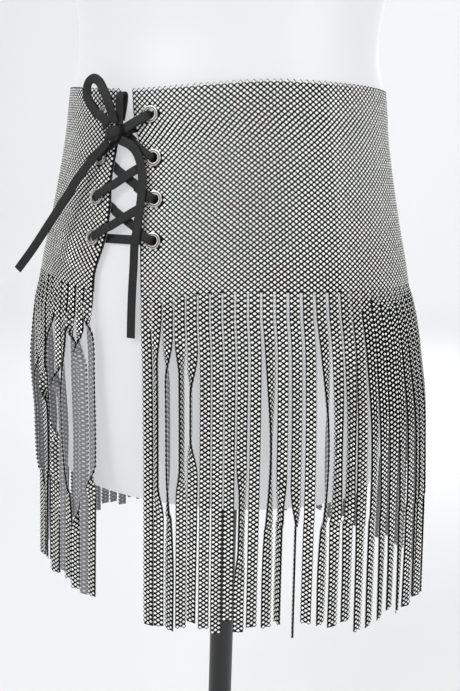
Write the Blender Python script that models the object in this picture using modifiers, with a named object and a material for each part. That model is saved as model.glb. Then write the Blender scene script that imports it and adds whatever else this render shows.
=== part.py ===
"""Rhinestone fringe belt, laced at one hip, worn on a smooth limbless torso form on a pole stand.

Metres, +Z up. The front of the form faces -Y and the base plate's underside lies at the origin.
The belt is one sheet of stone net: its upper part is a closed band round the hips, held by a lace
through eight eyelets, and its lower part is slit into hanging strands.
"""
import bisect
import functools
import math
import random
from collections import namedtuple

import bmesh
import bpy
from mathutils import Matrix, Vector

# The stand.
BASE_RADIUS = 0.130
BASE_THICKNESS = 0.008
BASE_EDGE = 0.002
SOCKET_RADIUS = 0.019
SOCKET_HEIGHT = 0.030
SOCKET_EDGE = 0.002
SOCKET_FLARE = 0.004
SOCKET_FOOT = 0.006
POLE_RADIUS = 0.011
SEAM = 0.0003

# The torso form, from its thigh cut up to its neck cap. The widths are half widths, and front and
# back are the depths from the form's axis, which stands a little beside the pole.
THIGH_CUT = 0.370
AXIS_X = -0.0105
Section = namedtuple("Section", "up half_width front back")
TORSO = [
    Section(0.000, 0.141, 0.104, 0.108),
    Section(0.050, 0.154, 0.110, 0.118),
    Section(0.110, 0.161, 0.114, 0.124),
    Section(0.170, 0.159, 0.112, 0.120),
    Section(0.230, 0.146, 0.104, 0.108),
    Section(0.285, 0.135, 0.097, 0.097),
    Section(0.325, 0.130, 0.094, 0.093),
    Section(0.360, 0.124, 0.091, 0.090),
    Section(0.400, 0.128, 0.095, 0.093),
    Section(0.460, 0.144, 0.107, 0.102),
    Section(0.520, 0.157, 0.115, 0.108),
    Section(0.580, 0.161, 0.104, 0.104),
    Section(0.625, 0.158, 0.088, 0.096),
    Section(0.655, 0.136, 0.074, 0.082),
    Section(0.675, 0.098, 0.062, 0.066),
    Section(0.695, 0.066, 0.054, 0.056),
    Section(0.715, 0.055, 0.052, 0.053),
    Section(0.750, 0.052, 0.051, 0.051),
]
TORSO_SEGMENTS = 40
TORSO_RINGS = 24

# The belt. Heights are measured from the thigh cut, as on the form.
BELT_TOP = 0.325
BAND_ROWS = 8
TOP_DIP = 0.008
DIP_REACH = 0.120
NET_THICKNESS = 0.0020
NET_CLEARANCE = 0.0008
LACING_LIFT = 0.0034
LIFT_START = 0.040
LIFT_END = 0.085
LACING_TURN = math.radians(-20.5)
GIRTH_STEPS = 360

# The lacing gap at each depth below the belt's top edge: its centre, round from the lacing line,
# and half of its width.
Gap = namedtuple("Gap", "below centre half")
LACING_GAP = [
    Gap(0.000, -0.0055, 0.0050),
    Gap(0.020, -0.0038, 0.0063),
    Gap(0.040, -0.0008, 0.0098),
    Gap(0.065, 0.0004, 0.0131),
    Gap(0.085, 0.0028, 0.0135),
    Gap(0.110, 0.0036, 0.0154),
    Gap(0.140, 0.0026, 0.0208),
    Gap(0.200, 0.0085, 0.0205),
    Gap(0.420, 0.0105, 0.0225),
]

# The net is drawn together beside the lacing and spread over the front of the hips, and its columns
# run nearly level with each other, so that the waist takes its fullness in at the back.
FRONT_SHARE = 0.178
FRONT_EASE = 0.0049
TOP_SPREAD = 0.18
SPREAD_END = 0.170

# The fringe.
SLIT_BELOW = 0.150
FRINGE_LENGTH = 0.264
HEADING_HEIGHT = 0.006
HIP_HEIGHT = 0.118
HANG_FLARE = 0.010
FRINGE_CLEARANCE = 0.0016

# How far the strands stand out past the hips on the side away from the lacing, at each height.
Swing = namedtuple("Swing", "up out")
SIDE_SWING = [
    Swing(-0.100, 0.0230),
    Swing(-0.040, 0.0215),
    Swing(0.000, 0.0200),
    Swing(0.040, 0.0180),
    Swing(0.080, 0.0150),
    Swing(0.120, 0.0085),
    Swing(0.150, 0.0030),
    Swing(0.180, 0.0000),
]
SWING_TURN = math.radians(95.0)
SIDE_TUCK = 0.0045
SHORT_SIDE = 0.010
STRANDS = 90
STRAND_SHARE = 0.79
STRAND_ROWS = 6
FRINGE_NODES = 2
STRAND_SEED = 11

# Strands that hang turned: how far, and from and to which share of their fall.
Turned = namedtuple("Turned", "degrees start end")
TURNED_STRANDS = {
    1: Turned(50, 0.10, 0.60),
    2: Turned(86, 0.16, 0.50),
    3: Turned(-84, 0.13, 0.55),
    4: Turned(80, 0.20, 0.46),
    8: Turned(-60, 0.50, 0.80),
    11: Turned(70, 0.55, 1.20),
    12: Turned(-75, 0.60, 1.20),
    80: Turned(60, 0.30, 0.70),
    82: Turned(30, 0.35, 1.20),
    84: Turned(70, 0.12, 0.50),
    85: Turned(-10, 0.30, 1.20),
    87: Turned(5, 0.10, 0.75),
    88: Turned(-15, 0.16, 1.20),
    89: Turned(20, 0.05, 0.60),
}
TURN_EASE = 0.07

# Over the far hip the strands hang close together and hardly turn.
CLOSE_STRANDS = (18, 36)
CLOSE_TWIST = 0.2

# The eyelets, on each side of the lacing, and the lace.
EYELET_ROWS = [0.0175, 0.0490, 0.0790, 0.1095]
EYELET_FROM_EDGE = {1: (0.0150, 0.0118, 0.0118, 0.0112), -1: (0.0145, 0.0140, 0.0135, 0.0120)}
EYELET_OUTER = 0.0061
EYELET_BORE = 0.0043
EYELET_BARREL = 0.0051
EYELET_FLANGE = 0.0007
EYELET_SEGMENTS = 14
EYELET_BOW = 0.0003
BACK_ROUNDING = 0.0004
FACE_ROUNDING = 0.0008
CUTTER_DEPTH = 0.012
LACE_WIDTH = 0.0070
LACE_THICKNESS = 0.0012
TIGHT_WIDTH = 0.0056

# How far the middle of the lace lies out from the cloth's inside: in an eyelet's bore, over its
# flange, over the bare cloth, above and below where two runs cross, and behind the cloth and the
# eyelet.
IN_BORE = -0.0013
OVER_FLANGE = 0.0049
OVER_CLOTH = 0.0035
CROSS_ABOVE = 0.0020
CROSS_BELOW = 0.0002
BEHIND_CLOTH = -0.0014
BEHIND_EYELET = -0.0022

# Where the lace comes up out of an eyelet: distances from its centre and heights over the cloth's
# inside. Past the rim it lies over or behind the flange, and it ends just past the next eyelet.
EYELET_EXIT = [(0.0005, IN_BORE), (0.0006, 0.0012), (0.0010, 0.0038), (0.0028, OVER_FLANGE)]
PAST_FLANGE = 0.0006
BEHIND_FLANGE = 0.0075
LACE_END = 0.0030
CROSS_SLOPE = 0.0004
EDGE_STEP = 0.004
BAR_STEPS = 12

# The knot of the bow, and the lace's loops and tails from it: places round from the lacing line,
# up from the thigh cut and out from the form, with the tilt of the lace's width off the cloth.
KNOT_ALONG = -0.0085
KNOT_UP = 0.2860
KNOT_OUT = 0.0136
KNOT_SIZE = (0.0130, 0.0120, 0.0064)
KNOT_EDGE = 0.0026
RUN_AT_KNOT = 0.22
RUN_UNDER_KNOT = 0.0018
Route = namedtuple("Route", "along up out tilt")
SIDE_LOOP = [
    Route(-0.0127, 0.2936, 0.0142, 0),
    Route(-0.0185, 0.2975, 0.0150, -8),
    Route(-0.0240, 0.3018, 0.0165, -18),
    Route(-0.0288, 0.3089, 0.0185, -25),
    Route(-0.0306, 0.3162, 0.0195, -25),
    Route(-0.0289, 0.3225, 0.0200, -12),
    Route(-0.0242, 0.3252, 0.0200, 0),
    Route(-0.0191, 0.3227, 0.0197, 12),
    Route(-0.0156, 0.3175, 0.0193, 20),
    Route(-0.0121, 0.3110, 0.0188, 18),
    Route(-0.0094, 0.3039, 0.0182, 8),
    Route(-0.0074, 0.2970, 0.0167, 0),
    Route(-0.0067, 0.2937, 0.0158, 0),
]
FRONT_LOOP = [
    Route(-0.0039, 0.2951, 0.0120, 0),
    Route(-0.0034, 0.2976, 0.0122, 0),
    Route(-0.0023, 0.3042, 0.0125, 0),
    Route(-0.0013, 0.3105, 0.0132, 0),
    Route(-0.0009, 0.3136, 0.0144, 0),
    Route(-0.0012, 0.3148, 0.0158, 0),
    Route(-0.0016, 0.3136, 0.0174, 0),
    Route(-0.0020, 0.3100, 0.0180, 0),
    Route(-0.0026, 0.3037, 0.0163, 0),
    Route(-0.0036, 0.2968, 0.0146, 0),
    Route(-0.0036, 0.2924, 0.0139, 0),
]
SIDE_TAIL = [
    Route(-0.0133, 0.2801, 0.0128, 0),
    Route(-0.0205, 0.2738, 0.0122, 5),
    Route(-0.0270, 0.2672, 0.0130, 12),
    Route(-0.0345, 0.2567, 0.0150, 20),
    Route(-0.0411, 0.2444, 0.0175, 28),
    Route(-0.0508, 0.2233, 0.0230, 32),
    Route(-0.0650, 0.1965, 0.0290, 32),
    Route(-0.0779, 0.1800, 0.0320, 32),
]
FRONT_TAIL = [
    Route(-0.0023, 0.2811, 0.0124, 0),
    Route(0.0052, 0.2780, 0.0118, 0),
    Route(0.0108, 0.2728, 0.0112, 0),
    Route(0.0150, 0.2649, 0.0110, 0),
    Route(0.0178, 0.2542, 0.0109, 0),
    Route(0.0187, 0.2442, 0.0109, 0),
    Route(0.0187, 0.2312, 0.0109, 0),
    Route(0.0181, 0.2114, 0.0106, 0),
    Route(0.0178, 0.2040, 0.0098, 0),
    Route(0.0177, 0.1870, 0.0068, 0),
    Route(0.0180, 0.1609, 0.0056, 0),
    Route(0.0181, 0.1356, 0.0050, 0),
]

rng = random.Random(STRAND_SEED)


def smooth_step(value, low, high):
    share = min(max((value - low) / (high - low), 0.0), 1.0)
    return share * share * (3.0 - 2.0 * share)


def read_table(table, at):
    """Reads the rows of a table at a place in its first column, on one smooth curve through them."""
    places = [row[0] for row in table]
    if at <= places[0]:
        return list(table[0][1:])
    if at >= places[-1]:
        return list(table[-1][1:])
    low = bisect.bisect_right(places, at) - 1
    rows = [table[max(low - 1, 0)], table[low], table[low + 1], table[min(low + 2, len(table) - 1)]]
    step = rows[2][0] - rows[1][0]
    share = (at - rows[1][0]) / step
    values = []
    for column in range(1, len(table[0])):
        before, start, end, after = [row[column] for row in rows]
        slope_in = (end - before) / max(rows[2][0] - rows[0][0], 1e-9) * step
        slope_out = (after - start) / max(rows[3][0] - rows[1][0], 1e-9) * step
        values.append(
            start * (2 * share**3 - 3 * share**2 + 1)
            + slope_in * (share**3 - 2 * share**2 + share)
            + end * (3 * share**2 - 2 * share**3)
            + slope_out * (share**3 - share**2)
        )
    return values


def hanging_section(up):
    """The half width, front and back of the surface that the cloth follows: the form down to the
    hips, and below them a line that hangs almost straight down."""
    if up >= HIP_HEIGHT:
        return read_table(TORSO, up)
    flare = HANG_FLARE * (HIP_HEIGHT - up)
    return [size + flare for size in read_table(TORSO, HIP_HEIGHT)]


def section_point(section, turn, out):
    """A point of a section at an angle from the front, moved out along the section's normal."""
    half_width, front, back = section
    depth = front if math.cos(turn) > 0 else back
    across = Vector((AXIS_X + half_width * math.sin(turn), -depth * math.cos(turn)))
    normal = Vector((depth * math.sin(turn), -half_width * math.cos(turn))).normalized()
    return across + normal * out


@functools.lru_cache(maxsize=None)
def girth(up):
    """The arc length round the cloth's section at a height, from the lacing line back to it."""
    section = hanging_section(up)
    turns = [LACING_TURN + 2 * math.pi * step / GIRTH_STEPS for step in range(GIRTH_STEPS + 1)]
    points = [section_point(section, turn, NET_CLEARANCE + NET_THICKNESS) for turn in turns]
    lengths = [0.0]
    for start, end in zip(points, points[1:]):
        lengths.append(lengths[-1] + (end - start).length)
    return turns, lengths


def turn_at(up, along):
    """The angle of the point that lies a distance round the body from the lacing line."""
    turns, lengths = girth(round(up, 4))
    place = along % lengths[-1]
    low = min(bisect.bisect_right(lengths, place), len(lengths) - 1) - 1
    share = (place - lengths[low]) / (lengths[low + 1] - lengths[low])
    return turns[low] + share * (turns[low + 1] - turns[low])


def lift(along, up):
    """How far the cloth's inside stands off the form: more beside the lacing, where the lace runs."""
    total = girth(round(up, 4))[1][-1]
    distance = min(along % total, total - along % total)
    return NET_CLEARANCE + LACING_LIFT * (1.0 - smooth_step(distance, LIFT_START, LIFT_END))


def on_body(along, up, out):
    """A point at a distance round from the lacing, a height above the thigh cut and a distance out
    from the form's surface."""
    flat = section_point(hanging_section(up), turn_at(up, along), out)
    return Vector((flat.x, flat.y, THIGH_CUT + up))


def swing(along, up):
    """How much further out the strands hang at a place of the fringe."""
    facing = math.cos(turn_at(up, along) - SWING_TURN)
    if facing > 0.0:
        return read_table(SIDE_SWING, up)[0] * facing**1.5
    return -SIDE_TUCK * (-facing) ** 1.5 * (1.0 - smooth_step(up, 0.040, 0.110))


def gap_edge(side, below):
    """The sheet's edge on one side of the lacing, round from the lacing line."""
    centre, half = read_table(LACING_GAP, below)
    return centre + side * half


def top_edge(along, total):
    """The height of the belt's top edge, which dips towards the lacing."""
    distance = min(along % total, total - along % total)
    return BELT_TOP - TOP_DIP * (1.0 - smooth_step(distance, 0.0, DIP_REACH))


def cloth_place(share, below):
    """The distance round and the height of a point of the net, from its share of the way round the
    sheet and its depth below the top edge."""
    nominal = BELT_TOP - below
    total = girth(round(nominal, 4))[1][-1]
    centre, half = read_table(LACING_GAP, below)
    near_lacing = (1.0 + math.cos(2 * math.pi * share)) / 2
    along = centre * near_lacing + half + share * (total - 2 * half)
    if share < FRONT_SHARE:
        along -= FRONT_EASE * math.sin(math.pi * share / FRONT_SHARE)
    spread = TOP_SPREAD * max(0.0, 1.0 - below / SPREAD_END) * math.sin(2 * math.pi * share)
    along += spread * (total - 2 * half) / (2 * math.pi)
    up = top_edge(along, total) - below
    return along * girth(round(up, 4))[1][-1] / total, up


def material(name, colour, roughness, metallic=0.0):
    finish = bpy.data.materials.new(name)
    finish.use_nodes = True
    shader = finish.node_tree.nodes["Principled BSDF"]
    shader.inputs["Base Color"].default_value = (*colour, 1.0)
    shader.inputs["Roughness"].default_value = roughness
    shader.inputs["Metallic"].default_value = metallic
    return finish


def start_collection(name):
    collection = bpy.data.collections.new(name)
    bpy.context.scene.collection.children.link(collection)
    return collection


def add_object(name, mesh, finish, collection):
    piece = bpy.data.objects.new(name, mesh)
    collection.objects.link(piece)
    mesh.materials.append(finish)
    return piece


def mesh_from(name, shape, smooth_angle=40.0):
    mesh = bpy.data.meshes.new(name)
    shape.to_mesh(mesh)
    shape.free()
    mesh.shade_smooth()
    mesh.set_sharp_from_angle(angle=math.radians(smooth_angle))
    return mesh


def add_wall(piece, thickness, offset):
    wall = piece.modifiers.new("wall", "SOLIDIFY")
    wall.thickness = thickness
    wall.offset = offset
    wall.use_even_offset = False
    return wall


def grid(columns, rows):
    """An open sheet whose points are read as a share across and a share down, with its face
    outwards once across runs round the body and down runs to the floor."""
    shape = bmesh.new()
    bmesh.ops.create_grid(shape, x_segments=columns, y_segments=rows, size=0.5)
    return shape


def turned(name, profile, steps, finish, collection):
    """A closed turned piece from a closed profile of radius and height."""
    mesh = bpy.data.meshes.new(name)
    points = [(radius, 0.0, height) for radius, height in profile]
    edges = [(index, (index + 1) % len(points)) for index in range(len(points))]
    mesh.from_pydata(points, edges, [])
    piece = add_object(name, mesh, finish, collection)
    screw = piece.modifiers.new("turn", "SCREW")
    screw.steps = steps
    screw.render_steps = steps
    screw.use_merge_vertices = True
    screw.merge_threshold = 0.00001
    return piece


def make_base(finish, collection):
    shape = bmesh.new()
    bmesh.ops.create_cone(
        shape,
        cap_ends=True,
        segments=48,
        radius1=BASE_RADIUS,
        radius2=BASE_RADIUS,
        depth=BASE_THICKNESS,
    )
    bmesh.ops.translate(shape, verts=shape.verts, vec=(0, 0, BASE_THICKNESS / 2))
    piece = add_object("base_plate", mesh_from("base_plate", shape), finish, collection)
    edge = piece.modifiers.new("edge", "BEVEL")
    edge.width = BASE_EDGE
    edge.segments = 2
    edge.limit_method = "ANGLE"
    return piece


def make_socket(finish, collection):
    """The collar that is screwed to the plate and holds the pole's foot."""
    low = BASE_THICKNESS + SEAM
    inner = POLE_RADIUS + SEAM
    profile = [
        (SOCKET_RADIUS, low + SOCKET_HEIGHT - SOCKET_EDGE),
        (SOCKET_RADIUS + SOCKET_FLARE, low + SOCKET_FOOT),
        (SOCKET_RADIUS + SOCKET_FOOT + SOCKET_FLARE, low),
        (inner, low),
        (inner, low + SOCKET_HEIGHT),
        (SOCKET_RADIUS - SOCKET_EDGE, low + SOCKET_HEIGHT),
    ]
    return turned("pole_socket", profile, 32, finish, collection)


def make_pole(finish, collection):
    low = BASE_THICKNESS + SEAM
    height = THIGH_CUT - SEAM - low
    shape = bmesh.new()
    bmesh.ops.create_cone(
        shape,
        cap_ends=True,
        segments=32,
        radius1=POLE_RADIUS,
        radius2=POLE_RADIUS,
        depth=height,
    )
    bmesh.ops.translate(shape, verts=shape.verts, vec=(0, 0, low + height / 2))
    return add_object("pole", mesh_from("pole", shape), finish, collection)


def make_torso(finish, collection):
    """The form: a ball's rings moved to the body's sections, with its two poles as flat caps."""
    shape = bmesh.new()
    bmesh.ops.create_uvsphere(
        shape, u_segments=TORSO_SEGMENTS, v_segments=TORSO_RINGS + 1, radius=1.0
    )
    top = TORSO[-1].up
    for vert in shape.verts:
        polar = math.acos(max(-1.0, min(1.0, vert.co.z))) / math.pi
        ring = round(polar * (TORSO_RINGS + 1))
        if ring == 0 or ring == TORSO_RINGS + 1:
            vert.co = Vector((0, 0, THIGH_CUT + (top if ring == 0 else 0.0)))
            continue
        turn = math.atan2(vert.co.x, -vert.co.y)
        up = top * (TORSO_RINGS - ring) / (TORSO_RINGS - 1)
        flat = section_point(read_table(TORSO, up), turn, 0.0)
        vert.co = Vector((flat.x, flat.y, THIGH_CUT + up))
    return add_object("torso_form", mesh_from("torso_form", shape), finish, collection)


def make_band(finish, cutters, collection):
    """The closed upper part of the net: one sheet round the hips, open at the lacing."""
    shape = grid(STRANDS, BAND_ROWS)
    for vert in shape.verts:
        share = vert.co.x + 0.5
        below = (0.5 - vert.co.y) * SLIT_BELOW
        along, up = cloth_place(share, below)
        vert.co = on_body(along, up, lift(along, up))
    piece = add_object("net_band", mesh_from("net_band", shape), finish, collection)
    add_wall(piece, NET_THICKNESS, 1.0)
    for side in (1, -1):
        for row in EYELET_ROWS:
            cutter = eyelet_cutter(side, row, cutters)
            cut = piece.modifiers.new("eyelet_hole", "BOOLEAN")
            cut.operation = "DIFFERENCE"
            cut.object = cutter
    return piece


def eyelet_frame(side, row):
    """The eyelet's centre on the cloth's inside, and its outward direction."""
    along = gap_edge(side, row) + side * EYELET_FROM_EDGE[side][EYELET_ROWS.index(row)]
    total = girth(round(BELT_TOP - row, 4))[1][-1]
    up = top_edge(along, total) - row
    inside = lift(along, up)
    centre = on_body(along, up, inside)
    beside = on_body(along + 0.002, up, inside) - centre
    above = on_body(along, up + 0.002, inside) - centre
    outward = beside.cross(above).normalized()
    return along, up, centre, outward


def place_along(piece, centre, outward):
    piece.location = centre
    piece.rotation_mode = "QUATERNION"
    piece.rotation_quaternion = Vector((0, 0, 1)).rotation_difference(outward)


def eyelet_cutter(side, row, cutters):
    shape = bmesh.new()
    bmesh.ops.create_cone(
        shape,
        cap_ends=True,
        segments=EYELET_SEGMENTS,
        radius1=EYELET_BARREL + SEAM,
        radius2=EYELET_BARREL + SEAM,
        depth=CUTTER_DEPTH,
    )
    cutter = bpy.data.objects.new("eyelet_cutter", mesh_from("eyelet_cutter", shape))
    cutters.objects.link(cutter)
    cutter.hide_render = True
    cutter.display_type = "WIRE"
    centre, outward = eyelet_frame(side, row)[2:]
    place_along(cutter, centre, outward)
    return cutter


def make_eyelet(side, row, number, finish, collection):
    """A two-flange ring through the cloth, turned about the cloth's normal."""
    low = -SEAM - EYELET_BOW
    high = NET_THICKNESS + SEAM + EYELET_BOW
    profile = [
        (EYELET_OUTER, high),
        (EYELET_BARREL, high),
        (EYELET_BARREL, low),
        (EYELET_OUTER, low),
        (EYELET_OUTER - BACK_ROUNDING, low - EYELET_FLANGE),
        (EYELET_BORE, low - EYELET_FLANGE),
        (EYELET_BORE, high + EYELET_FLANGE),
        (EYELET_OUTER - FACE_ROUNDING, high + EYELET_FLANGE),
    ]
    name = f"eyelet_{'front' if side > 0 else 'side'}_{number}"
    piece = turned(name, profile, EYELET_SEGMENTS, finish, collection)
    centre, outward = eyelet_frame(side, row)[2:]
    place_along(piece, centre, outward)
    return piece


def strand_moves():
    """Each strand's own hang: its extra length, its sway and its twist at the middle and the end."""
    moves = []
    for _ in range(STRANDS):
        turned_middle = rng.random() < 0.16
        moves.append(
            {
                "longer": rng.uniform(-0.006, 0.006),
                "sway": rng.uniform(-0.0006, 0.0006),
                "out": rng.uniform(0.0, 0.0016),
                "middle": math.radians(rng.choice((-75, 75)) if turned_middle else rng.uniform(-22, 22)),
                "end": math.radians(rng.uniform(-30, 30)),
            }
        )
    return moves


def make_fringe(number, moves, finish, collection):
    """A run of strands: a narrow heading strip under the band, with the strands hanging from it."""
    per_node = STRANDS // FRINGE_NODES
    first = number * per_node
    shape = grid(2 * per_node - 1, STRAND_ROWS + 1)
    columns = {}
    for vert in shape.verts:
        column = round((vert.co.x + 0.5) * (2 * per_node - 1))
        row = round((0.5 - vert.co.y) * (STRAND_ROWS + 1))
        columns[vert] = (column, row)
    gaps = []
    for face in shape.faces:
        column = min(columns[vert][0] for vert in face.verts)
        row = min(columns[vert][1] for vert in face.verts)
        if column % 2 == 1 and row > 0:
            gaps.append(face)
    bmesh.ops.delete(shape, geom=gaps, context="FACES")
    for vert in shape.verts:
        column, row = columns[vert]
        strand = column // 2
        right = column % 2
        centre_share = (first + strand + 0.5) / STRANDS
        half_share = (0.5 - (1 - right)) * STRAND_SHARE / STRANDS
        move = moves[first + strand]
        if row <= 1:
            below = SLIT_BELOW + SEAM + row * HEADING_HEIGHT
            along, up = cloth_place(centre_share + half_share, below)
            vert.co = on_body(along, up, lift(along, up) + NET_THICKNESS / 2 + FRINGE_CLEARANCE)
            continue
        drop = (row - 1) / STRAND_ROWS
        short = SHORT_SIDE * smooth_step(centre_share, 0.86, 0.94)
        length = FRINGE_LENGTH - HEADING_HEIGHT + move["longer"] - short
        below = SLIT_BELOW + SEAM + HEADING_HEIGHT + drop * length
        along, up = cloth_place(centre_share, below)
        total = girth(round(up, 4))[1][-1]
        half = STRAND_SHARE * total / STRANDS / 2 * (1 if right else -1)
        middle_weight = math.sin(math.pi * min(drop * 1.15, 1.0)) ** 2
        if CLOSE_STRANDS[0] <= first + strand < CLOSE_STRANDS[1]:
            middle_weight *= CLOSE_TWIST
        twist = move["middle"] * middle_weight + move["end"] * drop * drop
        if first + strand in TURNED_STRANDS:
            degrees, start, end = TURNED_STRANDS[first + strand]
            eased = smooth_step(drop, start - TURN_EASE, start + TURN_EASE)
            eased *= 1.0 - smooth_step(drop, end - TURN_EASE, end + TURN_EASE)
            twist = twist * (1.0 - eased) + math.radians(degrees) * eased
        out = lift(along, up) + NET_THICKNESS / 2 + FRINGE_CLEARANCE
        out += move["out"] * smooth_step(drop, 0.0, 0.5) + swing(along, up)
        out += abs(half * math.sin(twist)) if up > 0.0 else 0.0
        centre = on_body(along + move["sway"] * drop, up, out)
        beside = (on_body(along + 0.002, up, out) - on_body(along - 0.002, up, out)).normalized()
        outward = beside.cross(Vector((0, 0, 1)))
        vert.co = centre + beside * (half * math.cos(twist)) + outward * (half * math.sin(twist))
    name = f"fringe_{number + 1}"
    piece = add_object(name, mesh_from(name, shape), finish, collection)
    add_wall(piece, NET_THICKNESS, 0.0)
    return piece


def eyelet_place(side, row):
    along, up = eyelet_frame(side, row)[:2]
    return Vector((along, up))


def smooth_route(rows, per_span):
    """Places read along one smooth curve through the rows of a route."""
    places = []
    for index in range(len(rows) - 1):
        around = [rows[max(index - 1, 0)], rows[index], rows[index + 1], rows[min(index + 2, len(rows) - 1)]]
        for step in range(per_span):
            t = step / per_span
            weights = (
                (-t + 2 * t**2 - t**3) / 2,
                (2 - 5 * t**2 + 3 * t**3) / 2,
                (t + 4 * t**2 - 3 * t**3) / 2,
                (-(t**2) + t**3) / 2,
            )
            places.append([sum(w * row[column] for w, row in zip(weights, around)) for column in range(4)])
    places.append(list(rows[-1]))
    return places


def make_strap(name, places, width, finish, collection, flat_way=None):
    """A flat lace through places on the body. Its width lies in the cloth's plane, turned out of it
    by each place's tilt, square to flat_way or else to the lace's own way."""
    shape = grid(1, len(places) - 1)
    for vert in shape.verts:
        row = round((0.5 - vert.co.y) * (len(places) - 1))
        side = 1 if vert.co.x > 0 else -1
        along, up, out, tilt = places[row]
        before = places[max(row - 1, 0)]
        after = places[min(row + 1, len(places) - 1)]
        way = flat_way or Vector((after[0] - before[0], after[1] - before[1])).normalized()
        centre = on_body(along, up, out)
        beside = (on_body(along + 0.001, up, out) - on_body(along - 0.001, up, out)).normalized()
        above = (on_body(along, up + 0.001, out) - on_body(along, up - 0.001, out)).normalized()
        outward = beside.cross(above).normalized()
        across = beside * way.y - above * way.x
        lean = math.radians(tilt)
        across = across * math.cos(lean) + outward * math.sin(lean)
        vert.co = centre + across * (side * width / 2)
    piece = add_object(name, mesh_from(name, shape), finish, collection)
    add_wall(piece, LACE_THICKNESS, 0.0)
    return piece


def make_run(name, side, row_from, row_to, above, finish, collection):
    """One run of the lacing: up through its own eyelet, over its own edge, across the gap, and
    behind the other edge to the back of the next eyelet."""
    start = eyelet_place(side, row_from)
    end = eyelet_place(-side, row_to)
    way = (end - start).normalized()
    length = (end - start).length
    depth = BELT_TOP - TOP_DIP - (start.y + end.y) / 2
    own_edge = abs((gap_edge(side, depth + EDGE_STEP) - start.x) / way.x)
    other_edge = length - abs((gap_edge(-side, depth - EDGE_STEP) - end.x) / way.x)
    crossing = (own_edge + other_edge) / 2
    width = TIGHT_WIDTH if row_to == EYELET_ROWS[0] else LACE_WIDTH
    corner = width / 2 * abs(way.y) + SEAM
    reach = (other_edge - own_edge) / 2 - corner - LACE_END
    middle = CROSS_ABOVE if above else CROSS_BELOW
    stops = EYELET_EXIT + [
        (EYELET_OUTER + PAST_FLANGE, OVER_FLANGE),
        (own_edge + corner, OVER_CLOTH),
        (crossing - reach, middle + (CROSS_SLOPE if above else 0.0)),
        (crossing + reach, middle - (0.0 if above else CROSS_SLOPE)),
        (other_edge - corner, BEHIND_CLOTH),
        (length - BEHIND_FLANGE, BEHIND_EYELET + SEAM),
        (length - LACE_END, BEHIND_EYELET),
        (length + LACE_END, BEHIND_EYELET),
    ]
    places = []
    for distance, out in stops:
        place = start + way * distance
        places.append((place.x, place.y, lift(place.x, place.y) + out, 0.0))
    return make_strap(name, places, width, finish, collection, flat_way=way)


def make_bar(finish, collection):
    """The lace's middle, straight across behind the lowest pair of eyelets."""
    start = eyelet_place(1, EYELET_ROWS[-1])
    end = eyelet_place(-1, EYELET_ROWS[-1])
    way = (end - start).normalized()
    length = (end - start).length
    places = []
    for step in range(BAR_STEPS + 1):
        place = start + way * ((length + 2 * LACE_END) * step / BAR_STEPS - LACE_END)
        places.append((place.x, place.y, lift(place.x, place.y) + BEHIND_EYELET, 0.0))
    return make_strap("lace_bar", places, LACE_WIDTH, finish, collection, flat_way=way)


def make_knot_run(name, side, finish, collection):
    """The lace's last run on each side, from the top eyelet to the knot."""
    start = eyelet_place(side, EYELET_ROWS[0])
    knot = Vector((KNOT_ALONG + side * KNOT_SIZE[0] / 2, KNOT_UP + KNOT_SIZE[1] * RUN_AT_KNOT))
    way = (knot - start).normalized()
    length = (knot - start).length - SEAM - LACE_WIDTH / 2 * abs(way.y)
    cloth = lift(start.x, start.y)
    stops = [(far, cloth + out) for far, out in EYELET_EXIT] + [
        (EYELET_OUTER + PAST_FLANGE, cloth + OVER_FLANGE + CROSS_SLOPE),
        ((EYELET_OUTER + PAST_FLANGE + length) / 2, (cloth + OVER_FLANGE + KNOT_OUT) / 2),
        (length, KNOT_OUT - RUN_UNDER_KNOT),
    ]
    places = [(start.x + way.x * far, start.y + way.y * far, out, 0.0) for far, out in stops]
    return make_strap(name, places, LACE_WIDTH, finish, collection, flat_way=way)


def make_knot(finish, collection):
    shape = bmesh.new()
    bmesh.ops.create_cube(shape, size=1.0)
    bmesh.ops.scale(shape, vec=KNOT_SIZE, verts=shape.verts)
    knot = add_object("lace_knot", mesh_from("lace_knot", shape), finish, collection)
    centre = on_body(KNOT_ALONG, KNOT_UP, KNOT_OUT)
    beside = (on_body(KNOT_ALONG + 0.001, KNOT_UP, KNOT_OUT) - centre).normalized()
    above = (on_body(KNOT_ALONG, KNOT_UP + 0.001, KNOT_OUT) - centre).normalized()
    outward = beside.cross(above).normalized()
    above = outward.cross(beside)
    turn = Matrix((beside, above, outward)).transposed()
    knot.location = centre
    knot.rotation_mode = "QUATERNION"
    knot.rotation_quaternion = turn.to_quaternion()
    edge = knot.modifiers.new("edge", "BEVEL")
    edge.width = KNOT_EDGE
    edge.segments = 2
    return knot


def make_lace(finish, collection):
    make_bar(finish, collection)
    for index in range(len(EYELET_ROWS) - 1, 0, -1):
        for side in (1, -1):
            name = f"lace_run_{'front' if side > 0 else 'side'}_{index + 1}"
            above = side < 0
            make_run(name, side, EYELET_ROWS[index], EYELET_ROWS[index - 1], above, finish, collection)
    make_knot_run("lace_end_front", 1, finish, collection)
    make_knot_run("lace_end_side", -1, finish, collection)
    make_knot(finish, collection)
    make_strap("lace_loop_side", smooth_route(SIDE_LOOP, 2), LACE_WIDTH, finish, collection)
    upright = Vector((0, 1))
    make_strap("lace_loop_front", smooth_route(FRONT_LOOP, 2), LACE_WIDTH, finish, collection, upright)
    make_strap("lace_tail_side", smooth_route(SIDE_TAIL, 2), LACE_WIDTH, finish, collection)
    make_strap("lace_tail_front", smooth_route(FRONT_TAIL, 2), LACE_WIDTH, finish, collection)


for leftover in list(bpy.data.objects):
    bpy.data.objects.remove(leftover)

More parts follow.
